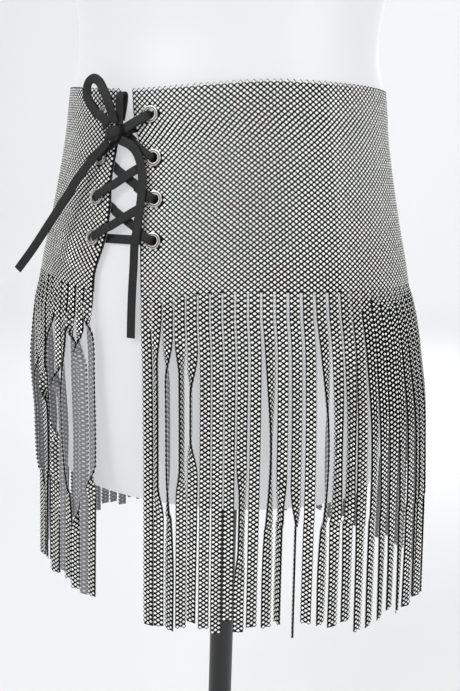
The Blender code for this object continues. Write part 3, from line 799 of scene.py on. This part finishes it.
def strand_length(strand):
    short = SHORT_SIDE * smooth_step((strand + 0.5) / STRANDS, *SHORT_FROM)
    return FRINGE_LENGTH + MOVES[strand].longer - short


TURN_EASE = 0.07
ROOT_EASE = 0.030
SWING_EASE = 0.012
TWIST_HIGH = 1.15

# Over the far hip the strands keep close beside each other for the first part of their fall.
CLOSE_STRANDS = (18, 36)
CLOSE_TWIST = 0.2
CLOSE_SHARE = 0.97
CLOSE_START = (0.004, 0.030)
CLOSE_FALL = (0.090, 0.140)
CLOSE_SPREAD = 0.32


def strand_line(strand, fallen):
    """A strand's middle, its way across, its outward way, half its width and how far apart its columns
    are, at a distance down from the slit."""
    move = MOVES[strand]
    drop = max(fallen - HEADING_HEIGHT, 0.0) / (strand_length(strand) - HEADING_HEIGHT)
    along, up = cloth_place((strand + 0.5) / STRANDS, SLIT_BELOW + fallen)
    spacing = whole_girth(up) / STRANDS / 4
    half = 2 * STRAND_SHARE * spacing
    middle_weight = math.sin(math.pi * min(drop * TWIST_HIGH, 1.0)) ** 2
    if CLOSE_STRANDS[0] <= strand < CLOSE_STRANDS[1]:
        fall = 1.0 - smooth_step(fallen, *CLOSE_FALL)
        half = 2 * (CLOSE_SHARE + (STRAND_SHARE - CLOSE_SHARE) * (1.0 - fall)) * spacing
        spacing *= 1.0 + CLOSE_SPREAD * smooth_step(fallen, *CLOSE_START) * fall
        middle_weight *= CLOSE_TWIST
    twist = move.middle * middle_weight + move.end * drop * drop
    if strand in TURNED_STRANDS:
        degrees, start, end = TURNED_STRANDS[strand]
        turned = smooth_step(drop, start - TURN_EASE, start + TURN_EASE)
        turned *= 1.0 - smooth_step(drop, end - TURN_EASE, end + TURN_EASE)
        twist = twist * (1.0 - turned) + math.radians(degrees) * turned
    out = lift(along, up) + (NET_THICKNESS / 2 + FRINGE_CLEARANCE) * smooth_step(fallen, 0.0, ROOT_EASE)
    out += move.out * smooth_step(drop, 0.0, 0.5) + swing(along, up) * smooth_step(fallen, 0.0, SWING_EASE)
    out += abs(half * math.sin(twist)) if up > 0.0 else 0.0
    along += move.sway * drop
    middle = on_body(along, up, out)
    beside = (on_body(along + 2 * NEAR, up, out) - on_body(along - 2 * NEAR, up, out)).normalized()
    across = beside * math.cos(twist) + beside.cross(Vector((0, 0, 1))) * math.sin(twist)
    return middle, across, across.cross(Vector((0, 0, 1))).normalized(), half, spacing


STRAND_STEPS = 42


def make_strands(number, first, count, front, back):
    """The backings of a run of strands, each a narrow strip of the net."""
    rows = []
    for step in range(STRAND_STEPS + 1):
        line = []
        for strand in range(first, first + count):
            fallen = strand_length(strand) * step / STRAND_STEPS
            middle, across, facing, half, _ = strand_line(strand, fallen)
            for side in (-1, 0, 1):
                inner = middle + across * (side * half)
                outer = inner + facing * BACKING_THICKNESS
                line.append((inner, outer, 2 * strand + 1 + side * 0.5, (SLIT_BELOW + fallen) / ROW_PITCH))
        rows.append(line)
    slits = {(row, 3 * strand + 2) for row in range(STRAND_STEPS) for strand in range(count)}
    name = f"strands_backing_{number + 1}"
    piece = add_piece(name, shell_mesh(name, rows, slits), front, back)
    return settle(piece, "stone_net", f"fringe_{number + 1}")


Stone = namedtuple("Stone", "place outward down shade")


def stone_at(place, outward, down):
    lean = Vector([stone_rng.uniform(-STONE_LEAN, STONE_LEAN) for _ in range(3)])
    return Stone(place, (outward + lean).normalized(), down, stone_rng.random())


def band_stones():
    """The stones of the closed part: whole columns and, between them, columns half a row lower."""
    stones = []
    columns = 4 * STRANDS
    for column in range(1, columns):
        share = column / columns
        lowered = (column + 1) % 2
        for row in range(int(SLIT_BELOW / ROW_PITCH) + 1):
            below = (row + 0.5 * lowered) * ROW_PITCH
            if below > SLIT_BELOW - STONE_SUNK:
                continue
            place = band_point(share, below, BACKING_THICKNESS)
            if not clear_of_eyelets(place, EYELET_OUTER + STONE_CLEAR):
                continue
            beside = band_point(share + NEAR_SHARE, below, BACKING_THICKNESS) - place
            under = band_point(share, below + NEAR, BACKING_THICKNESS) - place
            outward = under.cross(beside).normalized()
            stones.append(stone_at(place, outward, under.normalized()))
    return stones


def strand_stones(first, count):
    """Three columns of stones down each strand, the middle one half a row lower."""
    stones = []
    for strand in range(first, first + count):
        length = strand_length(strand)
        for row in range(int(length / ROW_PITCH) + 2):
            for column in (-1, 0, 1):
                fallen = (row - (0.5 if column == 0 else 0.0)) * ROW_PITCH + ROOT_ROW
                if not 0.0 <= fallen < length - END_MARGIN:
                    continue
                middle, across, facing, _, spacing = strand_line(strand, fallen)
                under = strand_line(strand, fallen + NEAR)[0] - middle
                place = middle + across * (column * spacing) + facing * BACKING_THICKNESS
                stones.append(stone_at(place, facing, under.normalized()))
    return stones


# How far below the closed part each slit starts: over the front as in the photo, then drawn.
FRONT_SLITS = [0.024, 0.005, 0.008, 0.002, -0.002, -0.001, 0.000, 0.004, 0.002]
FRONT_SLITS += [-0.003, 0.001, -0.001, 0.000, 0.001, -0.006, -0.005, 0.021]
SIDE_STRANDS = 34
SIDE_SLITS = (0.006, 0.014)
BACK_SLITS = (-0.004, 0.009)
ROOT_ROW = math.ceil(SLIT_BELOW / ROW_PITCH) * ROW_PITCH - SLIT_BELOW


def slit_start(strand):
    if strand < len(FRONT_SLITS):
        return FRONT_SLITS[strand]
    return stone_rng.uniform(*(SIDE_SLITS if strand < SIDE_STRANDS else BACK_SLITS))


def slit_stones():
    """The stones of the columns between strands, down to where each slit starts."""
    stones = []
    for strand in range(STRANDS - 1):
        last = slit_start(strand)
        row = 0
        while (row - 0.5) * ROW_PITCH + ROOT_ROW < last:
            fallen = max((row - 0.5) * ROW_PITCH + ROOT_ROW, 0.0)
            near, far = strand_line(strand, fallen), strand_line(strand + 1, fallen)
            under = strand_line(strand, fallen + NEAR)[0] - near[0]
            place = (near[0] + far[0]) / 2 + near[2] * (BACKING_THICKNESS - STONE_SUNK)
            stones.append(stone_at(place, (near[2] + far[2]).normalized(), under.normalized()))
            row += 1
    return stones


def stone_pattern():
    """One stone's crown: a girdle that stands on its trimmed corner, twelve facets and a table."""
    tips = [Vector(tip) for tip in ring_of(*STONE_TIPS, CUP_HEIGHT, 4)]
    points = []
    for step in range(4):
        for share in (STONE_TRIM, 1.0 - STONE_TRIM):
            points.append(tuple(tips[step].lerp(tips[(step + 1) % 4], share)))
    points += ring_of(TABLE_RADIUS, TABLE_RADIUS, CUP_HEIGHT + CROWN_HEIGHT, 4)
    faces = []
    for step in range(4):
        near, far = 2 * step - 1, 2 * step
        faces.append((near % 8, far, 8 + step))
        faces.append((far, (far + 1) % 8, 8 + step))
        faces.append(((far + 1) % 8, 8 + (step + 1) % 4, 8 + step))
    faces.append((8, 9, 10, 11))
    mesh = bpy.data.meshes.new("stone_pattern")
    mesh.from_pydata(points, [], faces)
    layer = mesh.attributes.new("table", "FLOAT", "FACE")
    layer.data.foreach_set("value", [0.0] * (len(faces) - 1) + [1.0])
    return add_piece("stone_pattern", mesh)


def cup_pattern():
    """One stone's setting: an open square cup that stands on its corner, its rim round the girdle."""
    points = ring_of(CUP_FOOT, CUP_FOOT, 0.0, 4) + ring_of(CUP_HALF, CUP_HALF, CUP_HEIGHT + CUP_RIM, 4)
    mesh = bpy.data.meshes.new("cup_pattern")
    mesh.from_pydata(points, [], tube_faces(2, 4))
    return add_piece("cup_pattern", mesh)


def setting_tree(name):
    """Geometry nodes that set a stone in its cup at every point of a mesh."""
    tree = bpy.data.node_groups.new(name, "GeometryNodeTree")
    sockets = [("Places", "Geometry"), ("Stone", "Object"), ("Cup", "Object")]
    sockets += [("Stone finish", "Material"), ("Cup finish", "Material")]
    for label, kind in sockets:
        tree.interface.new_socket(label, in_out="INPUT", socket_type=f"NodeSocket{kind}")
    seed = tree.interface.new_socket("Seed", in_out="INPUT", socket_type="NodeSocketInt")
    seed.default_value = STONE_SEED
    tree.interface.new_socket("Set stones", in_out="OUTPUT", socket_type="NodeSocketGeometry")
    start = tree.nodes.new("NodeGroupInput").outputs
    end = tree.nodes.new("NodeGroupOutput")
    vector = {"data_type": "FLOAT_VECTOR"}
    outward = add_node(tree, "GeometryNodeInputNamedAttribute", vector, Name="outward")["Attribute"]
    down = add_node(tree, "GeometryNodeInputNamedAttribute", vector, Name="down")["Attribute"]
    align = "FunctionNodeAlignRotationToVector"
    stand = add_node(tree, align, {"axis": "Z"}, Vector=outward)["Rotation"]
    settings = {"axis": "Y", "pivot_axis": "Z"}
    turn = add_node(tree, align, settings, Rotation=stand, Vector=down)["Rotation"]
    join = tree.nodes.new("GeometryNodeJoinGeometry")
    for pattern in ("Stone", "Cup"):
        shape = add_node(tree, "GeometryNodeObjectInfo", None, Object=start[pattern])["Geometry"]
        placed = add_node(
            tree, "GeometryNodeInstanceOnPoints", None, Points=start["Places"], Instance=shape, Rotation=turn
        )["Instances"]
        real = add_node(tree, "GeometryNodeRealizeInstances", None, Geometry=placed)["Geometry"]
        # A random number for each face, which the stone finish turns into painted glints across its facets.
        chance = add_node(tree, "FunctionNodeRandomValue", {"data_type": "FLOAT"}, Seed=start["Seed"])[1]
        settings = {"data_type": "FLOAT", "domain": "FACE"}
        facets = add_node(
            tree, "GeometryNodeStoreNamedAttribute", settings, Geometry=real, Name="facet_shade", Value=chance
        )["Geometry"]
        painted = add_node(
            tree, "GeometryNodeSetMaterial", None, Geometry=facets, Material=start[f"{pattern} finish"]
        )["Geometry"]
        tree.links.new(painted, join.inputs["Geometry"])
    tree.links.new(join.outputs["Geometry"], end.inputs["Set stones"])
    return tree


def made_plain(piece):
    """Puts the evaluated piece's plain mesh into the same object."""
    graph = bpy.context.evaluated_depsgraph_get()
    mesh = bpy.data.meshes.new_from_object(
        piece.evaluated_get(graph), preserve_all_data_layers=True, depsgraph=graph
    )
    piece.modifiers.clear()
    piece.data = mesh
    mesh.name = piece.name


def drop_empty_slots(mesh):
    """Leaves only the slots that hold a material, with each face kept in its own."""
    held = [index for index, material in enumerate(mesh.materials) if material]
    marks = [held.index(polygon.material_index) for polygon in mesh.polygons]
    for index in reversed(range(len(mesh.materials))):
        if index not in held:
            mesh.materials.pop(index=index)
    mesh.polygons.foreach_set("material_index", marks)


def make_stones(name, stones, tree, inputs):
    mesh = bpy.data.meshes.new(name)
    mesh.from_pydata([tuple(stone.place) for stone in stones], [], [])
    for key in ("outward", "down"):
        layer = mesh.attributes.new(key, "FLOAT_VECTOR", "POINT")
        layer.data.foreach_set("vector", [number for stone in stones for number in getattr(stone, key)])
    # A random number for each stone: its slight tint and the strength of its painted glint.
    layer = mesh.attributes.new("stone_shade", "FLOAT", "POINT")
    layer.data.foreach_set("value", [stone.shade for stone in stones])
    piece = add_piece(name, mesh)
    setting = piece.modifiers.new("setting", "NODES")
    setting.node_group = tree
    for item in tree.interface.items_tree:
        if item.name in inputs:
            setting[item.identifier] = inputs[item.name]
    made_plain(piece)
    for key in ("outward", "down"):
        piece.data.attributes.remove(piece.data.attributes[key])
    drop_empty_slots(piece.data)
    return settle(piece, "stone_net")


EYELET_PROFILE_STEPS = 6
FLANGE_CLEARANCE = 0.0003
EYELET_SEGMENTS = 36

# The face of an eyelet, from the bore outwards: its inner lip, the groove round it and its rolled rim,
# each with its radius, its height and how much painted shade darkens it.
EYELET_FACE = [
    (EYELET_BORE - 0.0006, -0.0010, 0.7),
    (EYELET_BORE - 0.0005, 0.0006, 0.2),
    (EYELET_BORE - 0.0003, 0.0010, 0.0),
    (EYELET_BORE, 0.0010, 0.0),
    (EYELET_BORE + 0.0002, 0.0006, 0.5),
    (EYELET_BORE + 0.0004, 0.0002, 1.0),
    (EYELET_OUTER - 0.0009, 0.0002, 1.0),
    (EYELET_OUTER - 0.0007, 0.0005, 0.4),
    (EYELET_OUTER - 0.0005, 0.0009, 0.0),
    (EYELET_OUTER - 0.0001, 0.0008, 0.0),
    (EYELET_OUTER, 0.0004, 0.0),
    (EYELET_OUTER, 0.0000, 0.0),
]


def eyelet_profile():
    """Radius, height and painted shade round a two-flange eyelet, its flanges rolled over at the rim."""
    low = -SEAM - FLANGE_CLEARANCE
    high = NET_THICKNESS + SEAM + FLANGE_CLEARANCE
    middle, half = (EYELET_OUTER + EYELET_BORE) / 2, (EYELET_OUTER - EYELET_BORE) / 2
    profile = [(EYELET_BARREL, high, 0.0), (EYELET_BARREL, low, 0.0)]
    for step in range(EYELET_PROFILE_STEPS + 1):
        turn = math.pi * step / EYELET_PROFILE_STEPS
        profile.append((middle + half * math.cos(turn), low - EYELET_FLANGE * math.sin(turn), 0.0))
    return profile + [(radius, high + height, hollow) for radius, height, hollow in EYELET_FACE]


def make_eyelets(finish):
    profile = eyelet_profile()
    points = []
    faces = []
    for _, _, centre, outward in EYELETS.values():
        turn_to = Vector((0, 0, 1)).rotation_difference(outward)
        faces += tube_faces(EYELET_SEGMENTS, len(profile), len(points), looped=True)
        for step in range(EYELET_SEGMENTS):
            turn = 2 * math.pi * step / EYELET_SEGMENTS
            for radius, height, _ in profile:
                spot = Vector((radius * math.cos(turn), radius * math.sin(turn), height))
                points.append(tuple(centre + turn_to @ spot))
    mesh = faced_out(mesh_of("eyelets", points, faces))
    # The painted shade of each profile point, read by the eyelets' finish.
    hollow = mesh.attributes.new("hollow", "FLOAT", "POINT")
    hollow.data.foreach_set("value", [row[2] for row in profile] * (len(points) // len(profile)))
    names = [f"eyelet_{side}_{number}" for side in ("front", "side") for number in range(1, 5)]
    return settle(add_piece("eyelets", mesh, finish), "eyelet", *names)


# The lace's outline, in halves of its width and thickness.
LACE_PROFILE = [
    (-1.00, 0.00), (-0.96, 0.62), (-0.80, 1.00), (-0.40, 1.08), (0.00, 1.12), (0.40, 1.08),
    (0.80, 1.00), (0.96, 0.62), (1.00, 0.00), (0.96, -0.62), (0.80, -1.00), (0.40, -0.96),
    (0.00, -0.92), (-0.40, -0.96), (-0.80, -1.00), (-0.96, -0.62),
]


def strap_mesh(name, places, width, flat_way=None):
    """A flat lace with soft edges through places on the body, and the points of its middle."""
    centres = [on_body(along, up, out) for along, up, out, _ in places]
    points = []
    for row, (along, up, out, tilt) in enumerate(places):
        before = places[max(row - 1, 0)]
        after = places[min(row + 1, len(places) - 1)]
        way = flat_way or Vector((after[0] - before[0], after[1] - before[1])).normalized()
        beside, above, outward = body_frame(along, up, out, NEAR, NEAR)
        across = beside * way.y - above * way.x
        lean = math.radians(tilt)
        across = (across * math.cos(lean) + outward * math.sin(lean)).normalized()
        ahead = centres[min(row + 1, len(places) - 1)] - centres[max(row - 1, 0)]
        face = across.cross(ahead).normalized()
        if flat_way is None and face.dot(outward) < 0 and abs(tilt) < 30:
            face = -face
        for wide, thick in LACE_PROFILE:
            spot = across * (wide * width / 2) + face * (thick * LACE_THICKNESS / 2)
            points.append(tuple(centres[row] + spot))
    faces = tube_faces(len(places), len(LACE_PROFILE), capped=True)
    return faced_out(mesh_of(name, points, faces)), centres


# How a lace comes up through its eyelet: along its way and out from the cloth.
OUT_OF_BORE = [(0.0005, IN_BORE), (0.0006, 0.0012), (0.0010, 0.0038), (0.0028, OVER_FLANGE)]
PAST_FLANGE = EYELET_OUTER + 0.0006
CROSS_LEAN = 0.0004
CROSS_SLACK = 0.0030
BAR_PAST = 0.003


def run_places(side, row_from, row_to, above):
    """The stops of one run of the lacing, as in the part's source."""
    start = Vector(EYELETS[side, row_from][:2])
    end = Vector(EYELETS[-side, row_to][:2])
    way = (end - start).normalized()
    length = (end - start).length
    depth = BELT_TOP - TOP_DIP - (start.y + end.y) / 2
    own_edge = abs((gap_edge(side, depth + 0.004) - start.x) / way.x)
    other_edge = length - abs((gap_edge(-side, depth - 0.004) - end.x) / way.x)
    crossing = (own_edge + other_edge) / 2
    width = TIGHT_WIDTH if row_to == EYELET_ROWS[0] else LACE_WIDTH
    corner = width / 2 * abs(way.y) + SEAM
    reach = (other_edge - own_edge) / 2 - corner - CROSS_SLACK
    stops = OUT_OF_BORE + [
        (PAST_FLANGE, OVER_FLANGE),
        (own_edge + corner, OVER_CLOTH),
        (crossing - reach, CROSS_ABOVE + CROSS_LEAN if above else CROSS_BELOW),
        (crossing + reach, CROSS_ABOVE if above else CROSS_BELOW - CROSS_LEAN),
        (other_edge - corner, BEHIND_CLOTH),
        (length - EYELET_OUTER - 0.0014, BEHIND_EYELET + 0.0003),
        (length - 0.0030, BEHIND_EYELET),
        (length + 0.0030, BEHIND_EYELET),
    ]
    places = [start + way * distance for distance, _ in stops]
    outs = [lift(*place) + out for place, (_, out) in zip(places, stops)]
    return [(*place, out, 0.0) for place, out in zip(places, outs)], width, way


def knot_run_places(side):
    start = Vector(EYELETS[side, EYELET_ROWS[0]][:2])
    knot = Vector((KNOT_ALONG + side * KNOT_SIZE[0] / 2, KNOT_UP + KNOT_SIZE[1] * 0.22))
    way = (knot - start).normalized()
    length = (knot - start).length - SEAM - LACE_WIDTH / 2 * abs(way.y)
    cloth = lift(*start)
    stops = [(distance, cloth + out) for distance, out in OUT_OF_BORE] + [
        (PAST_FLANGE, cloth + OVER_FLANGE + 0.0004),
        ((EYELET_OUTER + length) / 2 + 0.0004, (cloth + OVER_FLANGE + KNOT_OUT) / 2),
        (length + 0.0004, KNOT_OUT - 0.0018),
    ]
    return [(*(start + way * distance), out, 0.0) for distance, out in stops], way


def bar_places():
    start = Vector(EYELETS[1, EYELET_ROWS[-1]][:2])
    end = Vector(EYELETS[-1, EYELET_ROWS[-1]][:2])
    way = (end - start).normalized()
    length = (end - start).length
    distances = spaced(-BAR_PAST, length + BAR_PAST, 13)
    places = [start + way * distance for distance in distances]
    return [(*place, lift(*place) + BEHIND_EYELET, 0.0) for place in places], way


def add_strap(node, name, rows, per_span, finish, flat_way=None, width=LACE_WIDTH):
    mesh, centres = strap_mesh(name, smooth_route(rows, per_span), width, flat_way)
    return settle(add_piece(name, mesh, finish), "lace", node), centres


KNOT_STEPS = 40
WRAP_SHARE = 0.92
WRAP_SLANT = 0.32
WRAP_HEIGHT = (0.56, 0.08)
CORE_RINGS = 10
CORE_SEGMENTS = 28
CORE_SIZE = (0.78, 0.97, 0.80)


def knot_mesh():
    """The knot: the lace wrapped once round the crossing, over a rounded core."""
    centre = on_body(KNOT_ALONG, KNOT_UP, KNOT_OUT)
    beside, _, outward = body_frame(KNOT_ALONG, KNOT_UP, KNOT_OUT, NEAR, 0.0)
    turn_to = Matrix((beside, outward.cross(beside), outward)).transposed()
    points = []
    wide, high, deep = (size / 2 for size in KNOT_SIZE)
    for step in range(KNOT_STEPS):
        turn = 2 * math.pi * step / KNOT_STEPS
        squared = (abs(math.cos(turn)) ** 3 + abs(math.sin(turn)) ** 3) ** (-1 / 3)
        ring = Vector((wide * math.cos(turn), 0.0, deep * math.sin(turn))) * squared * WRAP_SHARE
        normal = Vector((math.cos(turn) / wide, 0.0, math.sin(turn) / deep)).normalized()
        half = high * (WRAP_HEIGHT[0] + WRAP_HEIGHT[1] * math.sin(turn))
        for across, thick in LACE_PROFILE:
            spot = ring + normal * (thick * LACE_THICKNESS / 2)
            spot.y += across * half + WRAP_SLANT * wide * math.cos(turn)
            points.append(tuple(centre + turn_to @ spot))
    faces = tube_faces(KNOT_STEPS, len(LACE_PROFILE), looped=True)
    faces += tube_faces(CORE_RINGS + 1, CORE_SEGMENTS, len(points))
    wide, high, deep = wide * CORE_SIZE[0], high * CORE_SIZE[1], deep * CORE_SIZE[2]
    for ring in range(CORE_RINGS + 1):
        polar = math.pi * ring / CORE_RINGS
        full = abs(math.sin(polar)) ** 0.6
        for x, z, y in ring_of(wide * full, deep * full, high * math.cos(polar), CORE_SEGMENTS):
            points.append(tuple(centre + turn_to @ Vector((x, y, z))))
    return faced_out(mesh_of("bow_knot", points, faces), 1e-6)


def make_lace(finish):
    places, way = bar_places()
    add_strap("lace_bar", "lacing_bar", places, 2, finish, way)
    for index in range(len(EYELET_ROWS) - 1, 0, -1):
        for side, word in ((1, "front"), (-1, "side")):
            places, width, way = run_places(side, EYELET_ROWS[index], EYELET_ROWS[index - 1], side < 0)
            run = f"{word}_{index + 1}"
            add_strap(f"lace_run_{run}", f"lacing_{run}", places, 4, finish, way, width)
    for side, word in ((1, "front"), (-1, "side")):
        places, way = knot_run_places(side)
        add_strap(f"lace_end_{word}", f"lacing_end_{word}", places, 4, finish, way)
    settle(add_piece("bow_knot", knot_mesh(), finish), "lace", "lace_knot")
    add_strap("lace_loop_side", "bow_loop_side", SIDE_LOOP, 6, finish)
    add_strap("lace_loop_front", "bow_loop_front", FRONT_LOOP, 6, finish, Vector((0, 1)))
    for word, rows in (("side", SIDE_TAIL), ("front", FRONT_TAIL)):
        piece, centres = add_strap(f"lace_tail_{word}", f"bow_tail_{word}", rows, 6, finish)
        length = sum((end - start).length for start, end in zip(centres, centres[1:]))


FLOOR_FLAT = 3.0
FLOOR_EDGE = 4.6
FLOOR_RISE = 2.2
FLOOR_SEGMENTS = 96


def make_floor(finish):
    """A pale round floor that sweeps up far behind the object."""
    profile = [(0.6, 0.0), (1.4, 0.0), (FLOOR_FLAT, 0.0)]
    for step in range(1, 13):
        turn = math.pi / 2 * step / 12
        reach = FLOOR_EDGE - FLOOR_FLAT
        profile.append((FLOOR_FLAT + reach * math.sin(turn), FLOOR_RISE * (1 - math.cos(turn))))
    points = []
    for radius, height in reversed(profile):
        points += ring_of(radius, radius, height, FLOOR_SEGMENTS)
    faces = tube_faces(len(profile), FLOOR_SEGMENTS)
    faces.append(tuple(range(len(points) - FLOOR_SEGMENTS, len(points))))
    floor = add_piece("studio_floor", mesh_of("studio_floor", points, faces, 60.0), finish)
    floor.location.z = -0.0005


def add_holder(name, data, place, turn):
    holder = bpy.data.objects.new(name, data)
    bpy.context.scene.collection.objects.link(holder)
    holder.location = place
    holder.rotation_mode = "QUATERNION"
    holder.rotation_quaternion = turn
    return holder


def add_light(name, place, target, size, power):
    lamp = bpy.data.lights.new(name, "AREA")
    lamp.shape = "DISK"
    lamp.size = size
    lamp.energy = power
    add_holder(name, lamp, place, (Vector(target) - Vector(place)).to_track_quat("-Z", "Y"))


def make_lights():
    middle = (0.0, 0.0, 0.60)
    add_light("key_light", (-1.1, -1.7, 1.9), middle, 1.2, 22.0)
    add_light("fill_light", (1.7, -1.2, 1.1), middle, 1.4, 14.0)
    add_light("back_light", (0.5, 1.9, 1.8), middle, 1.4, 16.0)
    add_light("wall_light", (0.0, 1.6, 2.4), (0.0, 4.6, 1.3), 2.0, 28.0)
    world = bpy.data.worlds.new("studio")
    world.use_nodes = True
    sky = world.node_tree.nodes["Background"].inputs
    sky["Color"].default_value = (0.93, 0.94, 0.96, 1.0)
    sky["Strength"].default_value = 0.82
    bpy.context.scene.world = world
    bpy.context.scene.view_settings.view_transform = "Standard"


CAMERA_TURN = math.radians(13.0)
CAMERA_PITCH = math.radians(11.6)
CAMERA_ROLL = math.radians(1.7)
CAMERA_DISTANCE = 0.68
CAMERA_BELOW_TOP = 0.074
SENSOR = 36.0
LENS_PIXELS = 781.0
IMAGE_HEIGHT = 691.0


def make_camera():
    lens = bpy.data.cameras.new("photo_camera")
    lens.sensor_width = SENSOR
    lens.lens = LENS_PIXELS * SENSOR / IMAGE_HEIGHT
    lens.clip_start = 0.05
    flat = Vector((-math.sin(CAMERA_TURN), math.cos(CAMERA_TURN), 0.0))
    ahead = flat * math.cos(CAMERA_PITCH) - Vector((0, 0, math.sin(CAMERA_PITCH)))
    right = ahead.cross(Vector((0, 0, 1))).normalized()
    above = right.cross(ahead)
    rolled_right = right * math.cos(CAMERA_ROLL) + above * math.sin(CAMERA_ROLL)
    rolled_above = above * math.cos(CAMERA_ROLL) - right * math.sin(CAMERA_ROLL)
    place = flat * -CAMERA_DISTANCE + Vector((0, 0, THIGH_CUT + BELT_TOP - CAMERA_BELOW_TOP))
    turn = Matrix((rolled_right, rolled_above, -ahead)).transposed().to_quaternion()
    bpy.context.scene.camera = add_holder("photo_camera", lens, place, turn)


make_camera()
make_lace(lace_finish())
net_front = backing_finish("net_between_stones", (0.006, 0.006, 0.007, 1), (0.014, 0.014, 0.015, 1))
net_back = backing_finish("net_back", (0.19, 0.19, 0.195, 1), (0.62, 0.62, 0.63, 1))

make_form(form_finish())
paint = stand_finish()
for node in ("base_plate", "pole_socket", "pole"):
    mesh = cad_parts[node].data
    mesh.materials.clear()
    mesh.materials.append(paint)

band = make_band(net_front, net_back)
half = STRANDS // 2
strands = [make_strands(number, number * half, half, net_front, net_back) for number in range(2)]

inputs = {"Stone": stone_pattern(), "Cup": cup_pattern()}
inputs |= {"Stone finish": stone_finish(), "Cup finish": cup_finish()}
setting = setting_tree("stones_in_cups")
on_band = band_stones() + slit_stones()
third = math.ceil(len(on_band) / 3)
for number in range(3):
    some = on_band[number * third:(number + 1) * third]
    make_stones(f"band_stones_{number + 1}", some, setting, inputs)
for number in range(5):
    some = strand_stones(number * STRANDS // 5, STRANDS // 5)
    make_stones(f"strand_stones_{number + 1}", some, setting, inputs)
for pattern in ("Stone", "Cup"):
    bpy.data.objects.remove(inputs[pattern])
eyelets = make_eyelets(eyelet_finish())

whole_girth(BELT_TOP - SLIT_BELOW / 2) - 0.025

make_floor(floor_finish())
make_lights()
